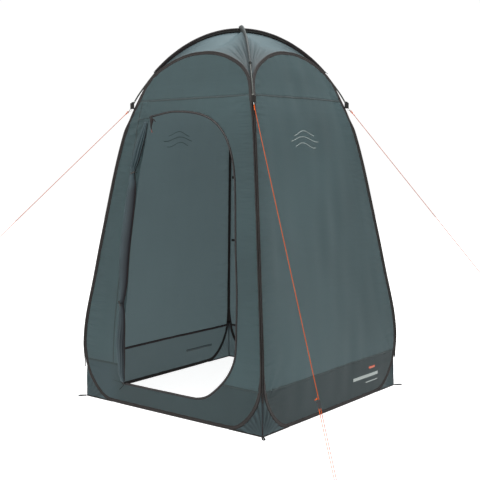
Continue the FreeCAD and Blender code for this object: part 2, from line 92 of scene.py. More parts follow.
# each guy: corner turn in degrees, a point that it is aimed at, and how far along it the
# runner and the end loop are
GUYS = {
    "front_left": (180, (-901, -901, 866), 0.975, 1.130),
    "front_right": (270, (1289, -1019, 3), 1.463, 1.835),
    "rear_right": (0, (940, 940, 620), 1.205, 1.360),
}
PEG_LOOP_START = 598 * MM * math.sqrt(2) + 3 * MM
PEG_LOOP_LENGTH = 40 * MM
PEG_LOOP_WIDTH = 18 * MM
SIDES = {"front": 0, "right": 90, "rear": 180, "left": 270}
CORNERS = {"rear_right": 0, "rear_left": 90, "front_left": 180, "front_right": 270}

# ---- the cloth
CLOTH = 0.9 * MM
GRID = 11 * MM
WEAVE_PITCH = 0.45 * MM
# how wide the folded binding is round a hoop's foot and crown, and up its sides
BINDING_FLANGE = 15 * MM
SIDE_FLANGE = 5.2 * MM
CORNER_FIN = 15 * MM
# the rolled door's foot and top
DOOR_Z = (0.124, 1.452)
# metres of the door's cloth for each radian round the roll
ROLL_UV = 0.03
# the doorway's sewn edge: two heights, and u at each
JAMB = ((0.114, 1.477), (-0.314, -0.271))
# the colour of the daylight that comes through the cloth
THROUGH_CLOTH = (0.57, 0.665, 0.685)

# ---- the camera, solved from the tent's feet, poles and hoops: degrees and metres
CAMERA_AZIMUTH, CAMERA_DISTANCE, CAMERA_HEIGHT = 39.04, 4.852, 1.278
CAMERA_HEADING, CAMERA_PITCH, CAMERA_ROLL = 39.16, -5.33, -0.46
CAMERA_LENS = 67.84


# ---- camera and light
def add_camera():
    """The camera stands in front of the tent and to its right, a little above the middle."""
    azimuth, heading = math.radians(CAMERA_AZIMUTH), math.radians(CAMERA_HEADING)
    pitch, roll = math.radians(CAMERA_PITCH), math.radians(CAMERA_ROLL)
    ahead = Vector((
        -math.sin(heading) * math.cos(pitch),
        math.cos(heading) * math.cos(pitch),
        math.sin(pitch),
    ))
    right = ahead.cross(Vector((0, 0, 1))).normalized()
    above = right.cross(ahead)
    x_axis = right * math.cos(roll) + above * math.sin(roll)
    y_axis = above * math.cos(roll) - right * math.sin(roll)
    data = bpy.data.cameras.new("camera")
    data.lens = CAMERA_LENS
    data.sensor_width = 36
    data.clip_end = 100
    camera = bpy.data.objects.new("camera", data)
    turn = Matrix((x_axis, y_axis, -ahead)).transposed()
    x, y = math.sin(azimuth) * CAMERA_DISTANCE, -math.cos(azimuth) * CAMERA_DISTANCE
    place = Vector((x, y, CAMERA_HEIGHT))
    camera.matrix_world = Matrix.Translation(place) @ turn.to_4x4()
    bpy.context.scene.collection.objects.link(camera)
    bpy.context.scene.camera = camera


def add_area_light(name, place, target, size, power, colour):
    """A square softbox aimed at a point."""
    data = bpy.data.lights.new(name, "AREA")
    data.size = size
    data.energy = power
    data.color = colour
    light = bpy.data.objects.new(name, data)
    ray = Vector(target) - Vector(place)
    turn = ray.to_track_quat("-Z", "Y").to_matrix().to_4x4()
    light.matrix_world = Matrix.Translation(place) @ turn
    bpy.context.scene.collection.objects.link(light)


def add_studio():
    """A pale floor, a white surround and soft boxes."""
    scene = bpy.context.scene
    scene.view_settings.view_transform = "Standard"
    world = bpy.data.worlds.new("studio")
    world.use_nodes = True
    background = world.node_tree.nodes["Background"]
    background.inputs["Color"].default_value = (1, 1, 1, 1)
    background.inputs["Strength"].default_value = 1.02
    scene.world = world
    bpy.ops.mesh.primitive_circle_add(vertices=96, radius=14, fill_type="NGON")
    floor = bpy.context.object
    floor.name = "floor"
    paint = Paint("studio_floor")
    speckle = paint.noise(paint.object_point(), 3.0, 2)
    colour = paint.ramp(speckle, [(0.3, 0.50), (0.7, 0.52)])
    panel = paint.principled(colour, 0.7, Specular_IOR_Level=0.0)
    panel.node.inputs["Emission Color"].default_value = (1, 1, 1, 1)
    panel.node.inputs["Emission Strength"].default_value = 0.88
    paint.finish(panel)
    floor.data.materials.append(paint.material)
    add_area_light("top", (0.35, 0.1, 4.7), (0, 0, 1.6), 1.9, 250, (0.97, 0.99, 1.0))
    add_area_light("key", (-2.2, -4.2, 3.4), (0, 0, 1.0), 2.4, 84, (1.0, 0.99, 0.98))


# ---- materials
class Paint:
    """One procedural material, built a node at a time."""

    def __init__(self, name):
        self.material = bpy.data.materials.new(name)
        self.material.use_nodes = True
        self.tree = self.material.node_tree
        self.tree.nodes.clear()

    def node(self, kind, inputs, **settings):
        """Add a node; inputs maps a socket's name or number to a value or another socket."""
        node = self.tree.nodes.new(kind)
        for key, value in settings.items():
            setattr(node, key, value)
        for key, value in inputs.items():
            socket = node.inputs[key]
            if isinstance(value, bpy.types.NodeSocket):
                self.tree.links.new(value, socket)
            elif isinstance(value, tuple) and len(value) == 3 and socket.type == "RGBA":
                socket.default_value = (*value, 1)
            else:
                socket.default_value = value
        return node

    def object_point(self):
        return self.node("ShaderNodeTexCoord", {}).outputs["Object"]

    def cloth_point(self):
        """Distances along and across the weave, in metres."""
        return self.node("ShaderNodeUVMap", {}, uv_map="cloth").outputs["UV"]

    def streaks(self, point, x, y, detail, roughness=0.5, z=1.0):
        """Noise drawn out along the axes with the smaller numbers."""
        settings = {"Vector": point, "Scale": Vector((x, y, z))}
        scaled = self.node("ShaderNodeMapping", settings).outputs["Vector"]
        return self.noise(scaled, 1.0, detail, roughness)

    def noise(self, point, scale, detail, roughness=0.5):
        settings = {"Vector": point, "Scale": scale, "Detail": detail, "Roughness": roughness}
        return self.node("ShaderNodeTexNoise", settings).outputs["Fac"]

    def ridges(self, point, pitch, direction):
        """Even ridges that repeat each pitch along one axis of the point."""
        settings = {"Vector": point, "Scale": math.pi / 10 / pitch}
        node = self.node("ShaderNodeTexWave", settings, bands_direction=direction)
        return node.outputs["Fac"]

    def weave(self, cloth):
        """The bump of a plain weave."""
        threads = [self.ridges(cloth, WEAVE_PITCH, direction) for direction in "XY"]
        return self.bump(self.maths("MULTIPLY", *threads), 0.06 * MM, 0.5)

    def across(self, point):
        """A point's X and Y."""
        parts = self.node("ShaderNodeSeparateXYZ", {"Vector": point}).outputs
        return parts["X"], parts["Y"]

    def maths(self, operation, *values):
        inputs = dict(enumerate(values))
        return self.node("ShaderNodeMath", inputs, operation=operation).outputs[0]

    def ramp(self, value, stops):
        """A colour for each value; a stop's colour may be one number, for a grey."""
        node = self.node("ShaderNodeValToRGB", {"Fac": value})
        elements = node.color_ramp.elements
        while len(elements) < len(stops):
            elements.new(0.5)
        for element, (place, colour) in zip(elements, stops):
            element.position = place
            element.color = (*(colour if isinstance(colour, tuple) else (colour,) * 3), 1)
        return node.outputs["Color"]

    def tints(self, value, colour, *stops):
        """One colour, darker or lighter at each value: stops are (value, times)."""
        return self.ramp(value, [(at, tuple(c * times for c in colour)) for at, times in stops])

    def shaded(self, share, shade, value, *stops):
        """A shade multiplied by a ramp."""
        return self.blended(share, shade, self.ramp(value, stops), "MULTIPLY")

    def blended(self, share, first, second, mode="MIX"):
        node = self.node("ShaderNodeMix", {}, data_type="RGBA", blend_type=mode)
        for place, value in ((0, share), (6, first), (7, second)):
            socket = node.inputs[place]
            if isinstance(value, bpy.types.NodeSocket):
                self.tree.links.new(value, socket)
            elif isinstance(value, tuple):
                socket.default_value = (*value, 1)
            else:
                socket.default_value = value
        return node.outputs[2]

    def bump(self, height, distance, strength, normal=None):
        settings = {"Height": height, "Distance": distance, "Strength": strength}
        if normal is not None:
            settings["Normal"] = normal
        return self.node("ShaderNodeBump", settings).outputs["Normal"]

    def principled(self, colour, roughness, **more):
        settings = {"Base Color": colour, "Roughness": roughness}
        settings.update({key.replace("_", " "): value for key, value in more.items()})
        return self.node("ShaderNodeBsdfPrincipled", settings).outputs["BSDF"]

    def finish(self, shader):
        self.node("ShaderNodeOutputMaterial", {"Surface": shader})
        return self.material


def woven(name, colour, see_through, fade=None, puckered=False):
    """Coated polyester: plain weave, faint crinkles and streaks, and some light through it."""
    paint = Paint(name)
    cloth = paint.cloth_point()
    clouds = paint.noise(paint.object_point(), 2.2, 3)
    shade = paint.tints(clouds, colour, (0.3, 0.86), (0.7, 1.12))
    shade = paint.shaded(0.30, shade, paint.streaks(cloth, 26, 1.6, 3), (0.3, 0.78), (0.7, 1))
    shade = paint.shaded(0.25, shade, paint.streaks(cloth, 900, 60, 2), (0.35, 0.8), (0.65, 1))
    if fade is not None:
        shade = fade(paint, shade)
    crinkle = paint.streaks(cloth, 34, 22, 4, 0.6)
    normal = paint.bump(crinkle, 1.4 * MM, 0.28, paint.weave(cloth))
    if puckered:
        x, y = paint.across(cloth)
        edge = paint.maths("MULTIPLY_ADD", y, 0.125, paint.maths("ABSOLUTE", x))
        beside = paint.ramp(edge, [(0.49, 0.10), (0.60, 1)])
        folds = paint.maths("MULTIPLY", paint.streaks(cloth, 8, 38, 2, 0.4), beside)
        normal = paint.bump(folds, 15 * MM, 0.7, normal)
    rough = paint.maths("MULTIPLY_ADD", clouds, 0.18, 0.50)
    surface = paint.principled(
        shade, rough, Normal=normal, Specular_IOR_Level=0.22, Sheen_Weight=0.04,
        Sheen_Roughness=0.5,
    )
    glow = paint.node("ShaderNodeBsdfTranslucent", {"Color": THROUGH_CLOTH, "Normal": normal})
    shares = {0: see_through, 1: surface, 2: glow.outputs[0]}
    return paint.finish(paint.node("ShaderNodeMixShader", shares).outputs[0])


def gusset_painted_crease_shade(paint, shade):
    """Painted shade and highlight: creases that fan out from the ground point, darker in their
    folds and lighter on their ridges.
    """
    cloth = paint.cloth_point()
    x, y = paint.across(cloth)
    angle = paint.maths("ARCTAN2", x, paint.maths("ADD", y, 0.012))
    drift = paint.streaks(cloth, 14, 9, 3)
    turn = paint.maths("MULTIPLY_ADD", drift, 7.0, paint.maths("MULTIPLY", angle, 26.0))
    fold = paint.maths("MULTIPLY_ADD", paint.maths("SINE", turn), 0.5, 0.5)
    return paint.shaded(1.0, shade, fold, (0.05, 0.30), (0.45, 0.85), (0.95, 1.45))


def foot_fade(paint, shade):
    """The front's foot band is lighter at its left end, below the strip beside the door."""
    x, y = paint.across(paint.cloth_point())
    place = paint.maths("ADD", paint.maths("MULTIPLY_ADD", y, -0.03, x), 0.6)
    return paint.shaded(1.0, shade, place, (0.19, (1.42, 1.42, 1.50)), (0.28, 1))


def roof_painted_shade(paint, shade):
    """Painted shade: the roof's cloth is darker away from the crown and beside the hoops."""
    x, y = paint.across(paint.cloth_point())
    along = paint.maths("DIVIDE", paint.maths("ABSOLUTE", x), ROOF_END_X)
    up = paint.maths("DIVIDE", y, 0.30)
    shade = paint.shaded(1.0, shade, along, (0, 1), (0.30, 0.90), (0.62, 0.50), (0.92, 0.29))
    return paint.shaded(1.0, shade, up, (0, 0.72), (0.35, 0.92), (0.8, 1))


# how far round the roll its dark right side reaches, partly the door's coated back turned out and
# partly painted shade: (height, share of the way round)
BACK_AND_SHADE_EDGE = [
    (0.0, 0.50), (0.13, 0.62), (0.22, 0.72), (0.32, 0.78), (0.50, 0.80), (0.56, 0.80),
    (1.10, 0.80), (1.17, 0.58), (1.24, 0.14),
]
BACK_AND_SHADE_START = 0.17


def rolled_cloth_with_painted_shade(name, colour, back):
    """The rolled door: woven cloth, darker along its right side, partly its coated back turned out
    and partly painted shade where the roll turns from the light.
    """
    paint = Paint(name)
    cloth = paint.cloth_point()
    x, y = paint.across(cloth)
    shade = paint.tints(paint.noise(paint.object_point(), 9, 3), colour, (0.3, 0.88), (0.7, 1.1))
    shade = paint.shaded(0.3, shade, paint.streaks(cloth, 160, 7, 3), (0.35, 0.75), (0.65, 1))
    stops = [(z / 1.5, turn) for z, turn in BACK_AND_SHADE_EDGE]
    edge = paint.ramp(paint.maths("DIVIDE", y, 1.5), stops)
    turn = paint.maths("DIVIDE", x, ROLL_UV * 2 * math.pi)
    before_edge = paint.maths("MULTIPLY", paint.maths("SUBTRACT", edge, turn), 2.6)
    after_start = paint.maths("MULTIPLY", paint.maths("SUBTRACT", turn, BACK_AND_SHADE_START), 14.0)
    both = paint.maths("MINIMUM", before_edge, after_start)
    back_and_shade = paint.node("ShaderNodeClamp", {"Value": both}).outputs[0]
    shade = paint.blended(back_and_shade, shade, back)
    crinkle = paint.streaks(cloth, 120, 16, 4, 0.6)
    normal = paint.bump(crinkle, 1.2 * MM, 0.3, paint.weave(cloth))
    surface = paint.principled(
        shade, 0.6, Normal=normal, Specular_IOR_Level=0.2, Sheen_Weight=0.03
    )
    return paint.finish(surface)


def taped(name, colour, rib=1.1 * MM, stitch_at=None):
    """Grosgrain tape: ribs across it, worn lighter patches, and a row of stitches along it."""
    paint = Paint(name)
    cloth = paint.cloth_point()
    height = ribs = paint.ridges(cloth, rib, "X")
    fuzz = paint.noise(paint.object_point(), 160, 3, 0.6)
    wear = paint.noise(paint.object_point(), 9, 3)
    shade = paint.tints(wear, colour, (0.3, 0.75), (0.75, 1.35))
    shade = paint.shaded(0.35, shade, ribs, (0.2, 0.6), (0.8, 1))
    shade = paint.shaded(0.3, shade, fuzz, (0.4, 0.7), (0.6, 1))
    if stitch_at is not None:
        x, y = paint.across(cloth)
        across = paint.maths("ABSOLUTE", paint.maths("SUBTRACT", y, stitch_at))
        line = paint.maths("LESS_THAN", across, 0.45 * MM)
        dash = paint.maths("LESS_THAN", paint.maths("MODULO", x, 3.2 * MM), 2.3 * MM)
        stitch = paint.maths("MULTIPLY", line, dash)
        shade = paint.blended(stitch, shade, tuple(min(1, c * 2.6 + 0.02) for c in colour))
        height = paint.maths("ADD", height, paint.maths("MULTIPLY", stitch, 2.0))
    normal = paint.bump(height, 0.12 * MM, 0.7)
    surface = paint.principled(
        shade, 0.72, Normal=normal, Specular_IOR_Level=0.25, Sheen_Weight=0.03
    )
    return paint.finish(surface)


def braided(name, colour, fleck):
    """Braided cord: crossing strands, some of them in a second colour."""
    paint = Paint(name)
    cloth = paint.cloth_point()
    ways = []
    for turn in (0.7, -0.7):
        slanted = paint.node("ShaderNodeMapping", {"Vector": cloth, "Rotation": (0, 0, turn)})
        ways.append(paint.ridges(slanted.outputs[0], 2.4 * MM, "X"))
    strands = paint.maths("MAXIMUM", *ways)
    spread = paint.noise(paint.object_point(), 260, 2)
    shade = paint.tints(strands, colour, (0.35, 0.55), (0.8, 1))
    shade = paint.blended(paint.maths("GREATER_THAN", spread, 0.64), shade, fleck)
    normal = paint.bump(strands, 0.25 * MM, 0.6)
    return paint.finish(paint.principled(shade, 0.7, Normal=normal, Specular_IOR_Level=0.12))


def moulded(name, colour, roughness, grain=900.0):
    """Moulded plastic: a fine spark-eroded grain and slight mottling."""
    paint = Paint(name)
    point = paint.object_point()
    mottle = paint.noise(point, 45, 3)
    shade = paint.tints(mottle, colour, (0.3, 0.85), (0.7, 1.15))
    rough = paint.maths("MULTIPLY_ADD", mottle, 0.16, roughness - 0.08)
    normal = paint.bump(paint.noise(point, grain, 2), 0.05 * MM, 0.5)
    return paint.finish(paint.principled(shade, rough, Normal=normal))


def drawn_rod(name, colour, stripe):
    """Pultruded glass-fibre rod: faint fibres along it under a resin gloss."""
    paint = Paint(name)
    fibres = paint.streaks(paint.object_point(), 1400, 1400, 3, z=30)
    shade = paint.ramp(fibres, [(0.35, stripe), (0.65, colour)])
    normal = paint.bump(fibres, 0.04 * MM, 0.4)
    return paint.finish(paint.principled(shade, 0.5, Normal=normal, Specular_IOR_Level=0.3))


def polished_wire(name, colour, roughness):
    """Drawn metal: fine scratches along it and slightly tarnished patches."""
    paint = Paint(name)
    point = paint.object_point()
    scratches = paint.streaks(point, 2200, 2200, 3, z=160)
    shade = paint.tints(paint.noise(point, 120, 3), colour, (0.35, 0.7), (0.6, 1))
    rough = paint.maths("MULTIPLY_ADD", scratches, 0.2, roughness - 0.1)
    normal = paint.bump(scratches, 0.02 * MM, 0.4)
    return paint.finish(paint.principled(shade, rough, Metallic=1.0, Normal=normal))


def printed(name, colour):
    """Screen-printed ink with slightly uneven cover."""
    paint = Paint(name)
    cover = paint.noise(paint.object_point(), 420, 3)
    shade = paint.tints(cover, colour, (0.25, 0.8), (0.6, 1))
    normal = paint.bump(cover, 0.05 * MM, 0.4)
    return paint.finish(paint.principled(shade, 0.55, Normal=normal))


def make_materials():
    """Every finish, by name."""
    dark = (0.0125, 0.0100, 0.0092)
    return {
        "wall": woven("wall_cloth", (0.037, 0.063, 0.067), 0.355, puckered=True),
        # painted light: the far walls, seen from inside, are the same cloth with more light let
        # through it
        "wall_far_painted_light": woven("far_wall_cloth_painted_light", (0.037, 0.063, 0.067), 0.365, puckered=True),
        "lower": woven("lower_cloth", (0.0205, 0.035, 0.037), 0.285, fade=foot_fade, puckered=True),
        # painted shade: the right wall's foot band is the foot band's cloth made darker
        "lower_right_painted_shade": woven("right_lower_cloth_painted_shade", (0.0125, 0.0205, 0.0215), 0.27, puckered=True),
        # painted light: the far foot bands, seen from inside, are the foot band's cloth with more
        # light let through it
        "lower_far_painted_light": woven("far_lower_cloth_painted_light", (0.020, 0.034, 0.036), 0.345, puckered=True),
        # painted shade and highlight in the corner pieces' creases
        "gusset": woven("gusset_cloth", (0.027, 0.043, 0.048), 0.36, fade=gusset_painted_crease_shade),
        # painted light: the roof's cloth is coloured lighter than the walls' for the top light that
        # falls on it, and darkened towards its ends and hoops as painted shade
        "roof": woven("roof_cloth_painted_light", (0.072, 0.105, 0.115), 0.38, fade=roof_painted_shade),
        # painted shade: the roll's cloth is darker than the wall's, and darker still along its
        # right side, partly its coated back
        "rolled": rolled_cloth_with_painted_shade("rolled_cloth_with_painted_shade", (0.031, 0.051, 0.058), (0.0105, 0.0110, 0.0140)),
        "binding": taped("binding_tape", dark, stitch_at=8 * MM),
        "sleeve_black": taped("sleeve_tape", (0.0130, 0.0100, 0.0100)),
        # painted light: the front-to-rear tunnel is the black sleeve's cloth, coloured grey for the
        # light that falls on it from above
        "sleeve_painted_light": woven("sleeve_cloth_painted_light", (0.018, 0.024, 0.0235), 0.0),
        "seam": woven("seam_cloth", (0.030, 0.043, 0.044), 0.2),
        "inner_tape": taped("inner_seam_tape", (0.018, 0.011, 0.012), stitch_at=4 * MM),
        "webbing": taped("black_webbing", (0.012, 0.0115, 0.010), rib=1.6 * MM),
        "peg_webbing": taped("peg_webbing", (0.0075, 0.0080, 0.0065), rib=1.6 * MM),
        "zip_tape": taped("zip_tape", (0.013, 0.0095, 0.0095), rib=0.9 * MM, stitch_at=4.5 * MM),
        "zip_teeth": moulded("zip_teeth", (0.011, 0.009, 0.009), 0.5),
        "door_zip_tape": taped("door_zip_tape", (0.016, 0.009, 0.009), rib=0.9 * MM),
        "zip_metal": moulded("zip_slider_paint", (0.022, 0.022, 0.022), 0.35, grain=1500),
        "pull": taped("pull_webbing", (0.010, 0.0065, 0.0065), rib=1.2 * MM),
        "pull_tip": moulded("pull_tip", (0.16, 0.035, 0.022), 0.5),
        "pole": drawn_rod("pole_resin", (0.034, 0.039, 0.034), (0.021, 0.024, 0.021)),
        "socket": moulded("socket_plastic", (0.009, 0.009, 0.0085), 0.55),
        "ferrule": polished_wire("ferrule_metal", (0.45, 0.46, 0.42), 0.38),
        "ring": polished_wire("ring_metal", (0.62, 0.62, 0.60), 0.3),
        "wire": polished_wire("spring_wire", (0.5, 0.5, 0.5), 0.35),
        "black_cord": braided("black_cord", (0.013, 0.011, 0.0105), (0.03, 0.028, 0.026)),
        "guy": braided("guy_cord", (0.66, 0.100, 0.006), (0.50, 0.14, 0.03)),
        "runner": moulded("runner_plastic", (0.008, 0.009, 0.010), 0.6),
        "toggle": moulded("toggle_plastic", (0.011, 0.009, 0.007), 0.55),
        "ink_light": printed("light_ink", (0.25, 0.285, 0.27)),
        "ink_orange": printed("orange_ink", (0.42, 0.085, 0.04)),
        "ink_seen_through": printed("ink_from_behind", (0.040, 0.058, 0.063)),
    }


# ---- mesh helpers
def add_mesh(name, vertices, faces, material, body, uv):
    """A smooth mesh that rides on a body; uv gives each vertex's place on the cloth, in metres."""
    mesh = bpy.data.meshes.new(name)
    mesh.from_pydata([tuple(v) for v in vertices], [], [tuple(f) for f in faces])
    mesh.materials.append(material)
    mesh.polygons.foreach_set("use_smooth", [True] * len(mesh.polygons))
    layer = mesh.uv_layers.new(name="cloth")
    corners = np.empty(len(mesh.loops), np.int32)
    mesh.loops.foreach_get("vertex_index", corners)
    layer.data.foreach_set("uv", np.asarray(uv, np.float32)[corners].ravel())
    mesh.validate()
    piece = bpy.data.objects.new(name, mesh)
    bpy.context.scene.collection.objects.link(piece)
    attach(piece, body)
    return piece


def thicken(piece):
    """Give a sheet the cloth's real thickness, so that it is a closed solid."""
    modifier = piece.modifiers.new("thickness", "SOLIDIFY")
    modifier.thickness = CLOTH
    modifier.offset = 0.0
    modifier.use_even_offset = False


def turned(points, degrees):
    """Points turned about the tent's vertical axis."""
    angle = math.radians(degrees)
    points = np.asarray(points, float)
    result = points.copy()
    result[..., 0] = points[..., 0] * math.cos(angle) - points[..., 1] * math.sin(angle)
    result[..., 1] = points[..., 0] * math.sin(angle) + points[..., 1] * math.cos(angle)
    return result


def units(vectors):
    """Each row as a unit vector."""
    lengths = np.linalg.norm(vectors, axis=-1, keepdims=True)
    return vectors / np.maximum(lengths, 1e-12)


def lengths_along(points):
    """How far along the line each point is."""
    steps = np.linalg.norm(np.diff(points, axis=0), axis=1)
    return np.concatenate([[0], np.cumsum(steps)])


def evenly(points, step):
    """The same line, with points a step apart."""
    points = np.asarray(points, float)
    along = lengths_along(points)
    wanted = np.linspace(0, along[-1], max(2, int(round(along[-1] / step)) + 1))
    return np.stack([np.interp(wanted, along, column) for column in points.T], axis=1)


def rounded(points, step):
    """A smooth line that passes inside the corners of an open polyline and keeps its ends."""
    points = np.asarray(points, float)
    middles = (points[:-1] + points[1:]) / 2
    line = [points[0]]
    for before, corner, after in zip(middles, points[1:], middles[1:]):
        for t in np.linspace(0, 1, 12):
            line.append((1 - t) ** 2 * before + 2 * t * (1 - t) * corner + t**2 * after)
    line.append(points[-1])
    return evenly(line, step)


def through(points, step):
    """A smooth line through every point."""
    points = np.asarray(points, float)
    along = lengths_along(points)
    wanted = np.linspace(0, along[-1], max(2, int(round(along[-1] / step)) + 1))
    return np.stack([natural_spline(along, column, wanted) for column in points.T], axis=1)


def natural_spline(x, y, wanted):
    """A cubic spline through (x, y) with no bend at its ends, read at wanted."""
    x, y = np.asarray(x, float), np.asarray(y, float)
    n = len(x)
    gaps = np.diff(x)
    matrix = np.eye(n)
    right = np.zeros(n)
    for i in range(1, n - 1):
        matrix[i, i - 1:i + 2] = gaps[i - 1], 2 * (gaps[i - 1] + gaps[i]), gaps[i]
        right[i] = 6 * ((y[i + 1] - y[i]) / gaps[i] - (y[i] - y[i - 1]) / gaps[i - 1])
    bend = np.linalg.solve(matrix, right)
    i = np.clip(np.searchsorted(x, wanted) - 1, 0, n - 2)
    h, a, b = gaps[i], x[i + 1] - wanted, wanted - x[i]
    return (
        (bend[i] * a**3 + bend[i + 1] * b**3) / (6 * h)
        + (y[i] / h - bend[i] * h / 6) * a
        + (y[i + 1] / h - bend[i + 1] * h / 6) * b
    )


def swell(points, scale, seed):
    """Soft unevenness between -1 and 1: a few seeded waves across the points."""
    points = np.asarray(points, float)
    random = np.random.default_rng(seed)
    total = np.zeros(points.shape[:-1])
    waves = 7
    for _ in range(waves):
        direction = random.normal(size=points.shape[-1])
        direction *= scale * random.uniform(0.6, 1.6) / np.linalg.norm(direction)
        total += np.sin(points @ direction + random.uniform(0, 2 * math.pi))
    return total / waves * 1.8


def eased(value, low, high):
    """0 below low, 1 above high and smooth between."""
    t = np.clip((np.asarray(value, float) - low) / (high - low), 0, 1)
    return t * t * (3 - 2 * t)


def tube_faces(rows, ring, closed=False):
    """Quads round a tube of rows, each a ring of points; an open tube gets two end caps."""
    faces = []
    for i in range(rows if closed else rows - 1):
        j = (i + 1) % rows
        for k in range(ring):
            m = (k + 1) % ring
            faces.append((i * ring + k, i * ring + m, j * ring + m, j * ring + k))
    if not closed:
        faces.append(tuple(range(ring))[::-1])
        faces.append(tuple((rows - 1) * ring + k for k in range(ring)))
    return faces


def swept(name, line, sections, normals, material, body, closed=False, across=None):
    """A bar along a line. A section's points are (a, b): a to the side, b along the normal."""
    line = np.asarray(line, float)
    if closed:
        tangents = np.roll(line, -1, axis=0) - np.roll(line, 1, axis=0)
    else:
        tangents = np.gradient(line, axis=0)
    tangents = units(tangents)
    normals = units(normals - tangents * np.sum(normals * tangents, axis=1, keepdims=True))
    sides = np.cross(normals, tangents) if across is None else across
    sections = np.asarray(sections, float)
    if sections.ndim == 2:
        sections = np.repeat(sections[None], len(line), axis=0)
    ring = sections.shape[1]
    points = (
        line[:, None]
        + sides[:, None] * sections[:, :, :1]
        + normals[:, None] * sections[:, :, 1:2]
    )
    u = np.repeat(lengths_along(line)[:, None], ring, axis=1)
    v = np.repeat(lengths_along(sections[0])[None], len(line), axis=0)
    uv = np.stack([u, v], axis=2).reshape(-1, 2)
    faces = tube_faces(len(line), ring, closed)
    return add_mesh(name, points.reshape(-1, 3), faces, material, body, uv)


def resized(section, wide, deep):
    """A section for each point of a line, made wider and deeper by these numbers."""
    return section[None] * np.stack(np.broadcast_arrays(wide, deep), axis=1)[:, None]


def round_section(radius, sides=10, flat=1.0):
    """A circle, or an ellipse, as a section."""
    turns = np.linspace(0, 2 * math.pi, sides, endpoint=False)
    return np.stack([np.cos(turns) * radius, np.sin(turns) * radius * flat], axis=1)


def strip_section(width, thickness):
    """A flat strap with softened edges, as a section."""
    a, b, c = width / 2, thickness / 2, min(thickness / 2, width / 4)
    return np.array([
        (-a + c, -b), (0, -b * 1.05), (a - c, -b), (a, -b + c * 0.6), (a, b - c * 0.6),
        (a - c, b), (0, b * 1.05), (-a + c, b), (-a, b - c * 0.6), (-a, -b + c * 0.6),
    ])


def steady_normals(line, start):
    """Normals along a line that turn as little as they can, from a first one."""
    tangents = units(np.gradient(np.asarray(line, float), axis=0))
    normal = np.asarray(start, float)
    found = []
    for tangent in tangents:
        normal = normal - tangent * (normal @ tangent)
        normal = normal / np.linalg.norm(normal)
        found.append(normal)
    return np.array(found)


def cord_mesh(name, points, radius, material, body, smooth=True):
    """A round cord through the points, as a closed mesh."""
    line = (through if smooth else evenly)(points, 1.5 * MM)
    start = np.cross(line[1] - line[0], (0.31, 0.42, 0.85))
    section = round_section(radius, 8)
    return swept(name, line, section, steady_normals(line, start), material, body)


# ---- the shape of a wall
def wall_distance(z):
    """How far a wall's middle surface is from the tent's middle at each height."""
    profile = np.array(WALL_PROFILE) * MM
    return natural_spline(profile[:, 0], profile[:, 1], np.clip(z, 0, profile[-1, 0]))


def hoop_outline():
    """The right half of a hoop, from the middle of its foot to its crown."""
    low, high = HOOP_SIDE_Z
    heights = np.linspace(low, high, HOOP_SIDE_STEPS + 1)
    side = np.stack([wall_distance(heights) - HOOP_GAP, heights], axis=1)
    corner = np.array(HOOP_BOTTOM_CORNER) * MM
    crown = np.array(HOOP_CROWN) * MM
    ends = np.array([(0, corner[0, 1])]), np.array([(0, crown[-1, 1])])
    return np.concatenate([ends[0], corner, side, crown, ends[1]])


def full_hoop(step):
    """The whole hoop as even points, anticlockwise from the middle of its foot."""
    half = rounded(hoop_outline(), step)
    other = half[1:-1][::-1] * (-1, 1)
    return np.concatenate([half, other])


HOOP = full_hoop(8 * MM)
HOOP_ALONG = lengths_along(HOOP)


def hoop_inward():
    """The way in from the hoop, across the wall, at each of its points."""
    tangents = units(np.roll(HOOP, -1, axis=0) - np.roll(HOOP, 1, axis=0))
    return np.stack([-tangents[:, 1], tangents[:, 0]], axis=1)


def nearest(points, others):
    """How far each point is from the nearest of the others, and which that is."""
    distance = np.empty(len(points))
    which = np.empty(len(points), int)
    batch = 4000
    for start in range(0, len(points), batch):
        some = slice(start, start + batch)
        gaps = np.linalg.norm(points[some, None] - others[None], axis=2)
        which[some] = gaps.argmin(axis=1)
        distance[some] = gaps.min(axis=1)
    return distance, which


def fan(points, centre, spread, reach, count, seed):
    """Creases that run out from one point of a wall, strongest near it."""
    offset = points - np.array(centre)
    distance = np.linalg.norm(offset, axis=1)
    angle = np.arctan2(offset[:, 1], offset[:, 0])
    wobble = 0.6 * swell(points, 9.0, seed)
    ridge = np.sin(angle * count + wobble * 2 + seed)
    fade = np.exp(-distance / reach) * eased(distance, 0, 0.03)
    towards = np.cos((angle - math.radians(spread)) / 2) ** 4
    return ridge * fade * towards


WALL_SEEDS = {"front": 3, "right": 11, "rear": 19, "left": 27}
# creases fan out from: (u, z), the way they point in degrees, reach, how many, height
FANS = {
    "front": [
        ((-0.300, 1.192), 180, 0.035, 11, 2.0), ((-0.312, 0.526), 180, 0.035, 11, 1.6),
        ((-0.271, 1.477), 225, 0.20, 13, 2.6), ((-0.314, 0.114), 200, 0.07, 12, 1.6),
        ((0.57, 0.17), 150, 0.10, 12, 1.3), ((-0.57, 0.17), 30, 0.10, 12, 1.3),
        ((0.375, 1.56), 190, 0.10, 11, 1.2), ((-0.375, 1.56), -20, 0.08, 11, 1.4),
    ],
    "right": [
        ((-0.575, 0.17), 40, 0.16, 14, 1.8), ((0.575, 0.17), 140, 0.12, 14, 1.5),
        ((-0.375, 1.57), 60, 0.10, 11, 1.5), ((0.375, 1.57), 120, 0.10, 11, 1.2),
    ],
}
FANS["rear"] = FANS["right"]
FANS["left"] = FANS["right"]


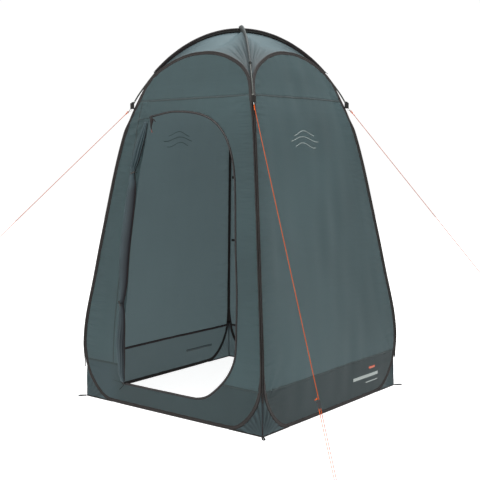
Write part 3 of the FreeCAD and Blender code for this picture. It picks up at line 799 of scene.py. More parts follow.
def relief(side, points):
    """How far the cloth stands out from a wall's smooth surface, in metres."""
    seed = WALL_SEEDS[side]
    distance, at = nearest(points, HOOP)
    round_it = HOOP_ALONG[at]
    u, z = points[:, 0], points[:, 1]
    inside = eased(distance, 0.0, 0.12)
    slack = 3.2 * MM if side == "front" else 6.0 * MM
    height = slack * swell(points * (1.3, 1.0), 6.0, seed) * inside
    height += 0.35 * slack * swell(points * (3.0, 0.8), 13.0, seed + 1) * inside
    pucker = np.sin(round_it / 0.0115 + 2.2 * swell(points, 7.0, seed + 2))
    strength = 0.55 + 0.45 * swell(points, 6.0, seed + 3)
    near = np.exp(-distance / 0.034) * eased(distance, 0.004, 0.02)
    height += 1.7 * MM * pucker * strength * near
    for centre, spread, reach, count, size in FANS[side]:
        height += 1.5 * size * MM * fan(points, centre, spread, reach, count, seed)
    for seam in (LOWER_SEAM_Z, UPPER_SEAM_Z):
        gather = np.sin(u / 0.0085 + 2.5 * swell(points, 8.0, seed + 5))
        near = np.exp(-np.abs(z - seam) / 0.022)
        height += 0.45 * MM * gather * near * inside
        height += 0.25 * MM * np.exp(-(((z - seam) / 0.007) ** 2))
    if side == "front":
        jamb = np.interp(z, *JAMB)
        pull = np.exp(-np.abs(u - jamb + 0.03) / 0.035) * (u < jamb) * eased(z, 0.1, 0.3)
        crease = np.sin((u - jamb) / 0.006 + 1.5 * swell(points, 4.0, 77))
        height += 1.6 * MM * pull * crease * eased(z, 0, 1.5)
    return height * eased(distance, 0.0, 0.012)


def outward_normals(z):
    """The way out of the front wall's smooth surface at each height."""
    slope = (wall_distance(z + 0.004) - wall_distance(z - 0.004)) / 0.008
    return units(np.stack([np.zeros_like(z), -np.ones_like(z), -slope], axis=1))


def wall_point(side, points, outward=0.0, flat=False):
    """Wall coordinates (u, z) as points in the row frame, moved out from the cloth."""
    points = np.asarray(points, float)
    z = points[:, 1]
    out = outward + (0 if flat else relief(side, points))
    placed = np.stack([points[:, 0], -wall_distance(z), z], axis=1)
    return turned(placed + outward_normals(z) * np.reshape(out, (-1, 1)), SIDES[side])


def wall_normals(side, points):
    """The way out of a wall's smooth surface at each point."""
    return turned(outward_normals(np.asarray(points, float)[:, 1]), SIDES[side])


# ---- wall cloth
def inside_outline(points, outline):
    """Which points are inside a closed outline."""
    x, y = points[:, 0], points[:, 1]
    found = np.zeros(len(points), bool)
    for (x0, y0), (x1, y1) in zip(outline, np.roll(outline, -1, axis=0)):
        crosses = (y0 > y) != (y1 > y)
        if y0 != y1:
            found ^= crosses & (x < (x1 - x0) * (y - y0) / (y1 - y0) + x0)
    return found


def door_line(step=8 * MM):
    """The zipped edge of the doorway, from its top left, over the arch and along the foot."""
    curve = through(np.array(DOOR_EDGE) * MM, step)
    foot = evenly([curve[-1], np.array(DOOR_FOOT_LEFT) * MM], step)
    return np.concatenate([curve, foot[1:]])


def jamb_bow(z):
    """How far the rolled door pulls the doorway's sewn edge to the left, and the foot too."""
    between_ties = eased(z, 0.50, 0.85) * (1 - eased(z, 1.20, 1.36))
    near_foot = eased(z, 0.12, 0.18) * (1 - eased(z, 0.30, 0.42))
    return 13 * MM * between_ties + 5 * MM * near_foot


def door_outline():
    """The whole doorway, closed by its sewn left edge."""
    line = door_line()
    jamb = evenly([line[-1], line[0]], 8 * MM)[1:-1]
    jamb[:, 0] -= jamb_bow(jamb[:, 1])
    return np.concatenate([line, jamb])


def seam_lines(side):
    """Where the wall's pieces of cloth meet."""
    lines = [
        evenly([(-0.62, LOWER_SEAM_Z), (0.62, LOWER_SEAM_Z)], GRID),
        evenly([(-0.40, UPPER_SEAM_Z), (0.40, UPPER_SEAM_Z)], GRID),
    ]
    if side == "front":
        (x0, z0), (x1, z1) = np.array(DOOR_SEAM) * MM
        share = (z0 - LOWER_SEAM_Z) / (z0 - z1)
        lines.append(evenly([(x0, z0), (x0 + (x1 - x0) * share, LOWER_SEAM_Z)], GRID))
    return lines


def wall_triangles(side):
    """The wall's flat triangles: points, faces, and each face's middle."""
    edge = HOOP + hoop_inward() * 2.5 * MM
    rings = [edge] + ([door_outline()] if side == "front" else [])
    lines = seam_lines(side)
    points = [tuple(p) for line in rings + lines for p in line]
    edges = []
    start = 0
    for line in rings:
        edges += [(start + i, start + (i + 1) % len(line)) for i in range(len(line))]
        start += len(line)
    for line in lines:
        edges += [(start + i, start + i + 1) for i in range(len(line) - 1)]
        start += len(line)
    rows = np.arange(0.005, 1.80, GRID * 0.87)
    columns = np.arange(-0.62, 0.62, GRID)
    shifts = [GRID / 2 if i % 2 else 0 for i in range(len(rows))]
    grid = np.array([(u + shift, z) for z, shift in zip(rows, shifts) for u in columns])
    grid = grid[inside_outline(grid, edge)]
    clear = nearest(grid, np.array(points))[0] > GRID * 0.55
    everything = [Vector(p) for p in points] + [Vector(p) for p in grid[clear]]
    flat, _, faces, *_ = geometry.delaunay_2d_cdt(everything, edges, [], 0, 1e-6)
    flat = np.array([tuple(p) for p in flat])
    faces = np.array([tuple(f) for f in faces])
    middles = flat[faces].mean(axis=1)
    kept = inside_outline(middles, edge)
    if side == "front":
        kept &= ~inside_outline(middles, door_outline())
    return flat, faces[kept], middles[kept]


def wall_shares(side, middles):
    """The wall's CAD pieces: which of the triangles each has, and its finish."""
    z = middles[:, 1]
    low, top = z < LOWER_SEAM_Z, z > UPPER_SEAM_Z
    foot = {"front": "lower", "right": "lower_right_painted_shade"}.get(side, "lower_far_painted_light")
    cloth = "wall" if side in ("front", "right") else "wall_far_painted_light"
    shares = {f"{side}_foot_band": (low, foot), f"{side}_top_panel": (top, cloth)}
    main = ~low & ~top
    if side != "front":
        shares[f"{side}_main_panel"] = (main, cloth)
        return shares
    (x0, z0), (x1, z1) = np.array(DOOR_SEAM) * MM
    left = middles[:, 0] < x0 + (x1 - x0) * (z0 - z) / (z0 - z1)
    shares["front_left_strip"] = (main & left, "wall")
    shares["door_surround"] = (main & ~left, "wall")
    return shares


def build_walls(finish):
    """The cloth of the four walls, one piece for each panel."""
    for side in SIDES:
        flat, faces, middles = wall_triangles(side)
        placed = wall_point(side, flat)
        for node, (share, material) in wall_shares(side, middles).items():
            used, corners = np.unique(faces[share], return_inverse=True)
            corners = corners.reshape(-1, 3)
            cloth = finish[material]
            piece = add_mesh(f"{node}_cloth", placed[used], corners, cloth, "tent", flat[used])
            thicken(piece)
            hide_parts(node)


# ---- bindings, seams and tapes
def binding_section():
    """Tape folded over the hoop's wire: a round edge and a flat flange, sewn to the cloth."""
    r = HOOP_BAR_R
    turns = np.radians(np.linspace(40, 320, 11))
    bead = np.stack([np.cos(turns) * r, np.sin(turns) * r], axis=1)
    end = BINDING_FLANGE
    flange = [(5.0 * MM, -1.6 * MM), (end - 1.5 * MM, -1.3 * MM), (end, -0.7 * MM)]
    mirror = [(a, -b) for a, b in reversed(flange)]
    return np.concatenate([np.array(mirror), bead, np.array(flange)])


def build_bindings(finish):
    """The bindings of the four hoops: narrower up the sides than round the corners and crown."""
    inward = hoop_inward()
    fold = 5 * MM
    for side in SIDES:
        line = wall_point(side, HOOP, flat=True)
        normals = wall_normals(side, HOOP)
        inner = units(wall_point(side, HOOP + inward * 2 * MM, flat=True) - line)
        sections = np.repeat(binding_section()[None], len(HOOP), axis=0)
        wobble = swell(HOOP, 60.0, WALL_SEEDS[side] + 6)
        flange = sections[:, :, 0] > 4.5 * MM
        height = HOOP[:, 1]
        straight = eased(height, 0.20, 0.32) * (1 - eased(height, 1.44, 1.58))
        narrow = 1 - straight * (BINDING_FLANGE - SIDE_FLANGE) / (BINDING_FLANGE - fold)
        sections[:, :, 0] += flange * (sections[:, :, 0] - fold) * (narrow - 1)[:, None]
        sections[:, :, 0] += flange * wobble[:, None] * 0.4 * MM
        ripple = np.sin(HOOP_ALONG / 0.0060 + 2 * wobble) * (0.6 + 0.4 * wobble)
        sections[:, :, 1] += (sections[:, :, 0] > fold) * ripple[:, None] * 0.35 * MM
        tape = finish["binding"]
        piece = swept(f"{side}_binding", line, sections, normals, tape, "tent", True, inner)
        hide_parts(f"hoop_sleeve_{side}")


def tape_along(name, side, points, width, thickness, outward, material):
    """A flat tape that lies on a wall's cloth along a line of wall points."""
    line = wall_point(side, points, outward)
    section = strip_section(width, thickness)
    piece = swept(name, line, section, wall_normals(side, points), material, "tent")


def half_width(z):
    """How far each way from its middle a wall reaches at a height, inside the binding."""
    right = HOOP[:len(HOOP) // 2]
    return float(np.interp(z, right[:, 1], right[:, 0])) - BINDING_FLANGE * 0.5


def add_seam_lap(name, side, points, width, thickness, outward, finish):
    """A lap seam, a flat fold of the same cloth."""
    material = finish["seam"]
    tape_along(name, side, points, width, thickness, outward, material)


def build_wall_seams(side, finish):
    """A wall's lap seams outside, and the sewn tape that covers the lower seam inside."""
    for name, z in (("lower", LOWER_SEAM_Z), ("upper", UPPER_SEAM_Z)):
        reach = half_width(z)
        runs = [(-reach, reach)]
        if side == "front" and name == "lower":
            outline = door_outline()
            beside = (np.abs(outline[:, 1] - z) < 9 * MM) & (outline[:, 0] > 0)
            runs = [(-reach, -0.330), (float(outline[beside, 0].mean()) + 8 * MM, reach)]
        for i, (start, stop) in enumerate(runs):
            points = evenly([(start, z), (stop, z)], 9 * MM)
            tail = f"{side}_{name}" if len(runs) == 1 else f"{side}_{name}_{i + 1}"
            lap = f"seam_lap_{tail}"
            add_seam_lap(lap, side, points, 10 * MM, 0.5 * MM, 0.65 * MM, finish)
            if name == "lower":
                tape, cloth = f"seam_tape_{tail}", finish["inner_tape"]
                tape_along(tape, side, points, 13 * MM, 0.8 * MM, -1.3 * MM, cloth)


def build_corner_tapes(finish):
    """The upright edges between walls: a fin of binding outside and a tape inside."""
    material = finish["binding"]
    for name, degrees in CORNERS.items():
        heights = np.linspace(0.16, 1.600, 140)
        away = wall_distance(heights) - 1 * MM
        line = turned(np.stack([away, away, heights], axis=1), degrees)
        normals = turned(np.tile((1.0, 1.0, 0.2), (len(line), 1)), degrees)
        section = strip_section(CORNER_FIN, 2.6 * MM)[::-1, ::-1] + (0, CORNER_FIN * 0.22)
        ends = eased(heights, 0.17, 0.30) * (1 - eased(heights, 1.40, 1.48))
        sections = resized(section, 1.0, ends * 0.75 + 0.25)
        fin = swept(f"corner_fin_{name}", line, sections, normals, material, "tent")
        inner = line - units(normals) * 3 * MM
        section = strip_section(9 * MM, 1.4 * MM)
        tape = swept(f"corner_tape_{name}", inner, section, normals, material, "tent")


def build_seams(finish):
    """Every seam of the walls, and the patches at the two ends of the doorway's sewn edge."""
    for side in SIDES:
        build_wall_seams(side, finish)
    seam = seam_lines("front")[2]
    add_seam_lap("seam_lap_beside_door", "front", seam, 7 * MM, 0.5 * MM, 0.65 * MM, finish)
    patches = {
        "top": [(-0.3465, 1.468), (-0.274, 1.474)],
        "foot": [(-0.3835, 0.121), (-0.316, 0.114)],
    }
    for name, ends in patches.items():
        points = evenly(ends, 8 * MM)
        patch = f"seam_patch_{name}"
        add_seam_lap(patch, "front", points, 4.5 * MM, 0.7 * MM, 0.9 * MM, finish)
    build_corner_tapes(finish)


# ---- the bottom corners
def gusset_grid():
    """A corner's cloth in unfolded coordinates: s across the corner, z up."""
    rows, columns = 26, 44
    half = rounded(hoop_outline(), 4 * MM)
    beside = half[(half[:, 1] < 0.235) & (half[:, 0] > 0.40)]
    foot = WALL_PROFILE[0][1] * MM
    grid = []
    for z in np.linspace(0.001, 0.222, rows):
        edge = float(np.interp(z, beside[:, 1], beside[:, 0])) - 1.0 * MM
        reach = max(foot + 2 * MM - edge, 1.5 * MM)
        grid.append([(s, z) for s in np.linspace(-reach, reach, columns)])
    return np.array(grid)


def gusset_points(grid):
    """Unfolded corner coordinates on the front right corner, with its creases."""
    s, z = grid[..., 0], grid[..., 1]
    away = wall_distance(z)
    x = away - np.where(s < 0, np.abs(s), 0)
    y = -away + np.where(s > 0, np.abs(s), 0)
    inward = (0.05 * z + 1 * MM) * np.exp(-np.abs(s) / 0.012)
    angle = np.arctan2(s, z + 0.004)
    distance = np.hypot(s, z)
    edge_fade = eased(np.abs(grid[:, :1, 0]) - np.abs(s), 0, 0.012)
    crease = np.sin(angle * 21 + 1.2 * swell(grid, 16.0, 41)) * eased(distance, 0.01, 0.06)
    crease += 0.6 * np.sin(s / 0.0042 + 2 * swell(grid, 12.0, 42)) * eased(z, 0.03, 0.12)
    out = crease * 3.0 * MM * edge_fade * eased(z, 0, 0.02)
    out += 3.0 * MM * swell(grid, 20.0, 43) * edge_fade * eased(z, 0, 0.05)
    x = x - inward * 0.7 + np.where(s > 0, out, out * 0.3)
    y = y + inward * 0.7 - np.where(s < 0, out, out * 0.3)
    return np.stack([x, y, z], axis=-1)


def grid_faces(rows, columns):
    """Quads over a grid of points."""
    faces = []
    for i in range(rows - 1):
        for j in range(columns - 1):
            a = i * columns + j
            faces.append((a, a + 1, a + columns + 1, a + columns))
    return faces


def build_gussets(finish):
    """The creased cloth in each bottom corner, and the hem at its foot."""
    grid = gusset_grid()
    rows, columns = grid.shape[:2]
    points = gusset_points(grid)
    faces = grid_faces(rows, columns)
    uv = grid.reshape(-1, 2)
    for name, degrees in CORNERS.items():
        turn = degrees - CORNERS["front_right"]
        placed = turned(points, turn)
        vertices = placed.reshape(-1, 3)
        piece = add_mesh(f"gusset_{name}", vertices, faces, finish["gusset"], "tent", uv)
        thicken(piece)
        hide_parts(f"corner_gusset_{name}")
        foot = placed[0].copy()
        foot[:, 2] = 3.4 * MM
        out = turned(np.tile((1.0, -1.0, 0.0), (columns, 1)), turn)
        section, material = round_section(3.2 * MM), finish["binding"]
        hem = swept(f"gusset_hem_{name}", foot, section, out, material, "tent")
        middle = placed[1:, columns // 2 - 1:columns // 2 + 1].mean(axis=1)
        section, material = strip_section(6 * MM, 2.6 * MM), finish["inner_tape"]
        out = out[:len(middle)]
        centre = swept(f"gusset_seam_{name}", middle, section, out, material, "tent")
        for piece in (hem, centre):
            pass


def build_peg_loops(finish):
    """A long narrow loop of webbing, flat on the ground, at each corner."""
    half = PEG_LOOP_WIDTH / 2 - 4.0 * MM
    start = PEG_LOOP_START - 2 * MM
    end = PEG_LOOP_START + PEG_LOOP_LENGTH - half - 2.0 * MM
    turns = np.radians(np.linspace(-90, 90, 13))
    nose = np.stack([end + half * np.cos(turns), half * np.sin(turns)], axis=1)
    near = [(start, -2.2 * MM), (start + 6 * MM, -3 * MM)]
    far = [(start + 6 * MM, 3 * MM), (start, 2.2 * MM)]
    line = through(np.concatenate([near, nose, far]), 1.5 * MM)
    flat = np.stack([line[:, 0], line[:, 1], np.full(len(line), 2.7 * MM)], axis=1)
    section, material = strip_section(7.0 * MM, 4.8 * MM), finish["peg_webbing"]
    for name, degrees in CORNERS.items():
        placed = turned(flat, degrees + 45)
        up = np.tile((0.0, 0.0, 1.0), (len(placed), 1))
        loop = f"peg_loop_{name}"
        piece = swept(f"peg_webbing_{name}", placed, section, up, material, loop)
        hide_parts(loop)


# ---- the roof
def pole_height(r, crown):
    """A bent pole's height where it is r from the middle along both X and Y."""
    share = np.abs(r) / POLE_FOOT_R
    return crown - (crown - POLE_FOOT_Z) * (POLE_BEND * share**2 + (1 - POLE_BEND) * share**6)


def pole_line(reach, crown):
    """Points along a pole in the diagonal plane of the +X +Y corner."""
    r = reach * np.sin(np.linspace(-math.pi / 2, math.pi / 2, 90))
    return np.stack([r, r, pole_height(r, crown)], axis=1)


def gore_grid():
    """The front gore: rows from the hoop's arch up to the ridge, columns across it."""
    rows, columns = 40, 141
    x = ROOF_END_X * np.sin(np.linspace(-math.pi / 2, math.pi / 2, columns))
    arch = HOOP[HOOP[:, 1] > 1.5]
    arch = arch[np.argsort(arch[:, 0])]
    arch_z = np.interp(x, arch[:, 0], arch[:, 1])
    rim = np.stack([x, -wall_distance(arch_z) + 3.5 * MM, arch_z + 1.5 * MM], axis=1)
    ridge_z = pole_height(x, CROWN["left_right"]) - ROOF_DROP
    ridge = np.stack([x, -np.abs(x), ridge_z], axis=1)
    t = np.linspace(0, 1, rows)[:, None, None]
    surface = rim[None] * (1 - t) + ridge[None] * t
    normals = units(np.cross(np.gradient(surface, axis=1), np.gradient(surface, axis=0)))
    width = np.repeat(np.linalg.norm(ridge - rim, axis=1)[None], rows, axis=0)
    share = np.repeat(t[:, :, 0], columns, axis=1)
    return surface, normals, share, np.repeat(x[None], rows, axis=0), width


def gore_relief(share, x, width):
    """Folds in a gore: they fan out from its two low ends and open towards the crown."""
    side = np.abs(x) / ROOF_END_X
    place = np.stack([share * 1.2, x * 4], axis=-1)
    drift = 0.10 * swell(place, 3.0, 61) + 0.16 * side
    gathered = eased(side, 0.12, 0.62) * (1 - 0.6 * eased(side, 0.95, 1.0))
    folds = np.zeros_like(share)
    for count, size, seed in ((3.0, 1.0, 62), (5.0, 0.7, 63), (8.0, 0.35, 64)):
        turns = math.pi * count * (share + drift) + seed + (x > 0) * 1.3
        ridge = 1 - 1.6 * np.abs(np.sin(turns))
        folds += size * ridge * (0.75 + 0.35 * swell(place, 4.0, seed))
    inside = np.sin(math.pi * share) ** 0.6
    out = -0.060 * width * np.sin(math.pi * share)
    out += 0.020 * width * folds * gathered * inside
    return out + 1.6 * MM * swell(place, 7.0, 65) * inside


def build_roof(finish):
    """The four gores of the roof."""
    surface, normals, share, x, width = gore_grid()
    points = surface + normals * gore_relief(share, x, width)[..., None]
    rows, columns = share.shape
    faces = grid_faces(rows, columns)
    uv = np.stack([x, share * width], axis=-1).reshape(-1, 2)
    for side, degrees in SIDES.items():
        placed = turned(points, degrees).reshape(-1, 3)
        piece = add_mesh(f"roof_{side}_cloth", placed, faces, finish["roof"], "tent", uv)
        thicken(piece)
        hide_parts(f"roof_gore_{side}")


def sleeve_section(radius, depth):
    """A pole's tunnel: round over the pole, flat below it, down to its seam on the roof."""
    turns = np.radians(np.linspace(-12, 192, 13))
    top = np.stack([np.cos(turns) * radius, np.sin(turns) * radius], axis=1)
    left = [(-radius * 0.92, -radius * 0.5), (-radius * 0.6, -depth * 0.55), (-1.2 * MM, -depth)]
    right = [(-a, b) for a, b in reversed(left)]
    return np.array([*map(tuple, top), *left, *right])


def build_pole_sleeves(finish):
    """The tunnels that the two poles run in, with a cord knot at each end."""
    kinds = {
        "left_right": (0, 5.6 * MM, "sleeve_black"),
        # the front-to-rear tunnel takes the sleeve cloth with painted light
        "front_rear": (90, 4.3 * MM, "sleeve_painted_light"),
    }
    for name, (degrees, radius, material) in kinds.items():
        line = pole_line(SLEEVE_END_R, CROWN[name])
        plane = np.tile((1.0, -1.0, 0.0), (len(line), 1)) / math.sqrt(2)
        normals = np.cross(units(np.gradient(line, axis=0)), -plane)
        normals *= np.sign(normals[:, 2:3])
        drop = line[:, 2] - pole_height(line[:, 0], CROWN["left_right"]) + ROOF_DROP + 1 * MM
        if name == "front_rear":
            drop = np.where(np.abs(line[:, 0]) < 14 * MM, radius + 1 * MM, drop)
        crumple = 1 + 0.07 * np.sin(lengths_along(line) / 0.013) * swell(line, 14.0, 71)
        sections = [sleeve_section(radius * c, depth) for c, depth in zip(crumple, drop)]
        placed, up = turned(line, degrees), turned(normals, degrees)
        piece = swept(f"pole_tunnel_{name}", placed, sections, up, finish[material], "tent")
        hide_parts(f"pole_sleeve_{name}")
        for end, sign in (("a", -1), ("b", 1)):
            add_tunnel_tie(f"tunnel_tie_{name}_{end}", sign, CROWN[name], degrees, finish)
    add_crown_loop(finish)


def add_tunnel_tie(name, sign, crown, degrees, finish):
    """Two turns of cord round a pole where its tunnel ends, with a short tail."""
    r = sign * (SLEEVE_END_R + 2 * MM)
    middle = np.array((r, r, pole_height(r, crown)))
    slope = units(np.array((sign, sign, -1.35)))
    flat_side = np.array((1.0, -1.0, 0.0)) / math.sqrt(2)
    over = np.cross(flat_side, slope)
    turns = np.linspace(0, 4.2 * math.pi, 48)[:, None]
    loop = middle + 5.5 * MM * (np.cos(turns) * flat_side + np.sin(turns) * over)
    loop = loop + slope * np.linspace(-3 * MM, 3 * MM, 48)[:, None]
    tail = loop[-1] + np.array([slope * 5 * MM + over * 1 * MM, slope * 14 * MM + over * 3 * MM])
    line = turned(np.concatenate([loop, tail]), degrees)
    cord_mesh(name, line, 1.4 * MM, finish["black_cord"], "tent")


def build_ferrules(finish):
    """A thin metal ring round each pole where it goes into its cup."""
    ring_z = 1.5645
    for corner, degrees in CORNERS.items():
        crown = CROWN["left_right" if corner in ("rear_right", "front_left") else "front_rear"]
        r = np.linspace(0.38, POLE_FOOT_R, 200)
        place = float(np.interp(-ring_z, -pole_height(r, crown), r))
        turns = np.linspace(0, 2 * math.pi, 28)
        x, y = place + 5.4 * MM * np.cos(turns), place + 5.4 * MM * np.sin(turns)
        ring = turned(np.stack([x, y, np.full(28, ring_z)], axis=1), degrees)
        name, metal = f"pole_ferrule_{corner}", finish["ferrule"]
        piece = cord_mesh(name, ring, 1.3 * MM, metal, "tent", smooth=False)


def add_crown_loop(finish):
    """A loop of tape round the upper pole, beside the crossing."""
    r = 10 * MM
    middle = np.array((-r, r, pole_height(r, CROWN["front_rear"]) + 1 * MM))
    flat_side = np.array((1.0, 1.0, 0.0)) / math.sqrt(2)
    turns = np.linspace(0, 2 * math.pi, 36)[:, None]
    out = 5.6 * MM * (np.cos(turns) * flat_side + np.sin(turns) * np.array((0, 0, 1.0)))
    ring = middle + out
    section = strip_section(5 * MM, 1.8 * MM)
    piece = swept("crown_loop", ring, section, ring - middle, finish["sleeve_painted_light"], "tent")


# ---- guys
def corner_point(u, side, z):
    """A point u along the diagonal to the +X +Y corner, and side across it."""
    return np.array(((u - side) / math.sqrt(2), (u + side) / math.sqrt(2), z))


def guy_frame(name):
    """A guy's start, its direction, and the way across to its returning leg."""
    degrees, target, _, _ = GUYS[name]
    out = 0.8 / math.sqrt(2)
    reach = np.array((out, out, -0.6)) * LASHING_REACH
    start = turned(corner_point(RING_U, 0, RING_Z) + reach, degrees)
    along = units(np.array(target) * MM - start)
    across = units(np.cross(along, (0, 0, 1)))
    return start, along, across


def nurbs(name, points, radius, material, body):
    """A cord as a smooth curve with these control points."""
    curve = bpy.data.curves.new(name, "CURVE")
    curve.dimensions = "3D"
    curve.bevel_depth = radius
    curve.bevel_resolution = 3
    curve.resolution_u = 12
    curve.use_fill_caps = True
    spline = curve.splines.new("NURBS")
    spline.points.add(len(points) - 1)
    for point, place in zip(spline.points, points):
        point.co = (*place, 1)
    spline.order_u = 3
    spline.use_endpoint_u = True
    if material is not None:
        curve.materials.append(material)
    piece = bpy.data.objects.new(name, curve)
    bpy.context.scene.collection.objects.link(piece)
    if radius > 0:
        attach(piece, body)
    return piece


def spline_points(points):
    """Points read from a smooth curve with these control points."""
    piece = nurbs("route", points, 0, None, "tent")
    mesh = bpy.data.meshes.new_from_object(piece)
    found = np.array([tuple(v.co) for v in mesh.vertices])
    bpy.data.meshes.remove(mesh)
    bpy.data.objects.remove(piece)
    return found


def knot_points(centre, along, across, size):
    """An overhand knot's turns, as a trefoil drawn out along the cord."""
    third = np.cross(along, across)
    t = np.linspace(0, 2 * math.pi, 60)[:, None]
    a = 0.36 * (np.sin(t) + 2 * np.sin(2 * t))
    b = 0.30 * (np.cos(t) - 2 * np.cos(2 * t))
    c = -0.42 * np.sin(3 * t)
    return centre + size * (a * along + b * across + c * third)


def add_knot(name, centre, along, across, size, tail, finish, body):
    """A knot and its short cut tail."""
    line = knot_points(centre, along, across, size)
    knot = cord_mesh(f"{name}_knot", line, ROPE_R * 0.95, finish["guy"], body, smooth=False)
    end = np.array([centre, centre + tail * 0.45 + across * 1.5 * MM, centre + tail])
    piece = cord_mesh(f"{name}_tail", end, ROPE_R * 0.9, finish["guy"], body)
    return [knot, piece]


def build_guys(finish):
    """Three guys: eye, knot, standing line, end loop, returning leg and stopper knot."""
    for name in GUYS:
        build_guy(name, finish)


def build_guy(name, finish):
    """One guy, from its eye at the lashing to its loop and back to its stopper knot."""
    degrees, _, runner_at, end_at = GUYS[name]
    cord = finish["guy"]
    turn = 6 * 2 * ROPE_R
    start, along, across = guy_frame(name)
    third = np.cross(along, across)
    beside = across * ROPE_GAP
    runner, slide = f"guy_runner_{name}", f"runner_slide_{name}"
    route = [
        start + along * EYE_R,
        start + along * (end_at - turn),
        start + along * end_at,
        start + along * end_at + beside,
        start + along * (end_at - turn) + beside,
    ]
    line = nurbs(f"guy_line_{name}", route, ROPE_R, cord, "tent")
    angles = np.linspace(0, 2 * math.pi, 32)[:, None]
    ring = start + EYE_R * (np.cos(angles) * along + np.sin(angles) * third)
    eye = cord_mesh(f"guy_eye_{name}", ring, ROPE_R * 0.95, cord, "tent", smooth=False)
    lean = np.array((0, 0, -0.35)) + turned(np.array((0.5, 0.2, 0)), degrees)
    down = units(along * 0.7 + lean) * 19 * MM
    knot = start + along * 9 * MM
    upper = add_knot(f"guy_upper_{name}", knot, along, third, 3.6 * MM, down, finish, "tent")
    leg_stop = start + along * (runner_at + 17 * MM) + beside
    fine = spline_points([route[-1], (route[-1] + leg_stop) / 2, leg_stop])
    normals = steady_normals(fine, third)
    back = swept(f"guy_leg_{name}", fine, round_section(ROPE_R), normals, cord, "tent")
    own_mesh(back)
    stop = start + along * (runner_at - 21.5 * MM) + beside
    tail = units(-along * 0.4 + across * 0.5 + np.array((0, 0, -0.7))) * 10 * MM
    lower = add_knot(f"guy_stop_{name}", stop, along, third, 3.4 * MM, tail, finish, runner)
    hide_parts(f"guy_rope_{name}")


# ---- the door
# the rolled door at each height, in mm: height, right edge on the wall, half width, half depth
ROLL = [
    (118, -291, 11, 5.5), (150, -286, 16, 8.5), (230, -277, 22, 12), (300, -276, 26, 14),
    (380, -281, 24, 14), (440, -289, 20, 12), (500, -303, 15, 10), (526, -310, 13, 9),
    (552, -306, 15, 11), (600, -296, 21, 13), (690, -289, 27, 15), (800, -285, 30, 16),
    (950, -279, 30, 16), (1080, -281, 26, 15), (1140, -290, 19, 13), (1180, -303, 13, 10),
    (1192, -305, 12, 9), (1206, -302, 14, 10), (1250, -286, 20, 13), (1320, -277, 22, 13),
    (1400, -271, 15, 9), (1450, -276, 8, 5), (1476, -280, 5, 4),
]


# creases along the roll: the heights between which each runs, its angles round the roll at
# those two heights in degrees, and its depth and width
ROLL_CREASES = [
    (1.20, 1.47, 58, 78, 0.34, 0.17), (1.20, 1.47, 92, 116, 0.28, 0.14),
    (1.20, 1.47, 20, 36, 0.30, 0.15), (1.20, 1.47, 126, 152, 0.16, 0.12),
    (0.56, 1.18, 116, 112, 0.13, 0.09), (0.56, 1.18, 140, 134, 0.11, 0.09),
    (0.13, 0.50, 104, 82, 0.16, 0.12), (0.13, 0.50, 132, 116, 0.14, 0.10),
    (0.13, 0.42, 72, 48, 0.16, 0.12), (0.13, 0.35, 22, 28, 0.14, 0.12),
]
ROLL_TIES = (0.526, 1.192)
# the angle round the roll, in radians, where its loose edge starts
ROLL_START = -2.4


def roll_line(heights):
    """The rolled door's middle (u, outward), half width and half depth at each height."""
    z, *columns = (np.array(ROLL, float) * MM).T
    right, width, depth = (natural_spline(z, column, heights) for column in columns)
    return right - jamb_bow(heights) - width, 4 * MM + depth, width, depth


def roll_surface(heights, turns):
    """Points of the rolled door's folded surface: across, outward and up."""
    middle, out, width, depth = roll_line(heights)
    z = heights[:, None] * np.ones_like(turns)[None]
    t = turns[None] * np.ones_like(heights)[:, None]
    place = np.stack([np.cos(t) * 0.35, np.sin(t) * 0.35, z * 1.6], axis=-1)
    shape = 1 + 0.05 * swell(place, 6.0, 82)
    drift = 0.07 * swell(place[..., 2:], 9.0, 83)
    for low, high, turn_low, turn_high, size, spread in ROLL_CREASES:
        share = (z - low) / (high - low)
        centre = np.radians(turn_low + (turn_high - turn_low) * share) + drift
        off = np.remainder(t - centre + math.pi, 2 * math.pi) - math.pi
        crease = np.exp(-((off / spread) ** 2))
        beside = np.exp(-(((np.abs(off) - 2.1 * spread) / spread) ** 2))
        ends = eased(share, -0.02, 0.1) * eased(1.02 - share, 0, 0.12)
        shape -= size * (crease - 0.45 * beside) * ends
    for tie in ROLL_TIES:
        gather = 1 - 1.5 * np.abs(np.sin(t * 5.5 + 1.3 * swell(place, 5.0, 84)))
        shape += 0.16 * gather * np.exp(-np.abs(z - tie) / 0.028)
    u = middle[:, None] + width[:, None] * shape * np.cos(t)
    o = out[:, None] + depth[:, None] * shape * np.sin(t)
    return u, o, z


def on_front(u, out, z):
    """Points beside the front wall, as an array of the same shape."""
    flat = np.stack([u.ravel(), z.ravel()], axis=1)
    return wall_point("front", flat, out.ravel(), flat=True).reshape(*u.shape, 3)


def build_roll(finish):
    """The door, rolled up and tied back."""
    heights = np.linspace(*DOOR_Z, 240)
    turns = np.linspace(ROLL_START, ROLL_START + 2 * math.pi, 108, endpoint=False)
    u, out, z = roll_surface(heights, turns)
    points = on_front(u, out, z).reshape(-1, 3)
    faces = tube_faces(*u.shape)
    round_it = (turns[None] - ROLL_START) * ROLL_UV + np.zeros_like(z)
    uv = np.stack([round_it, z], axis=-1).reshape(-1, 2)
    cloth = finish["rolled"]
    roll = add_mesh("rolled_door_cloth", points, faces, cloth, "rolled_door", uv)
    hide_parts("door_roll")


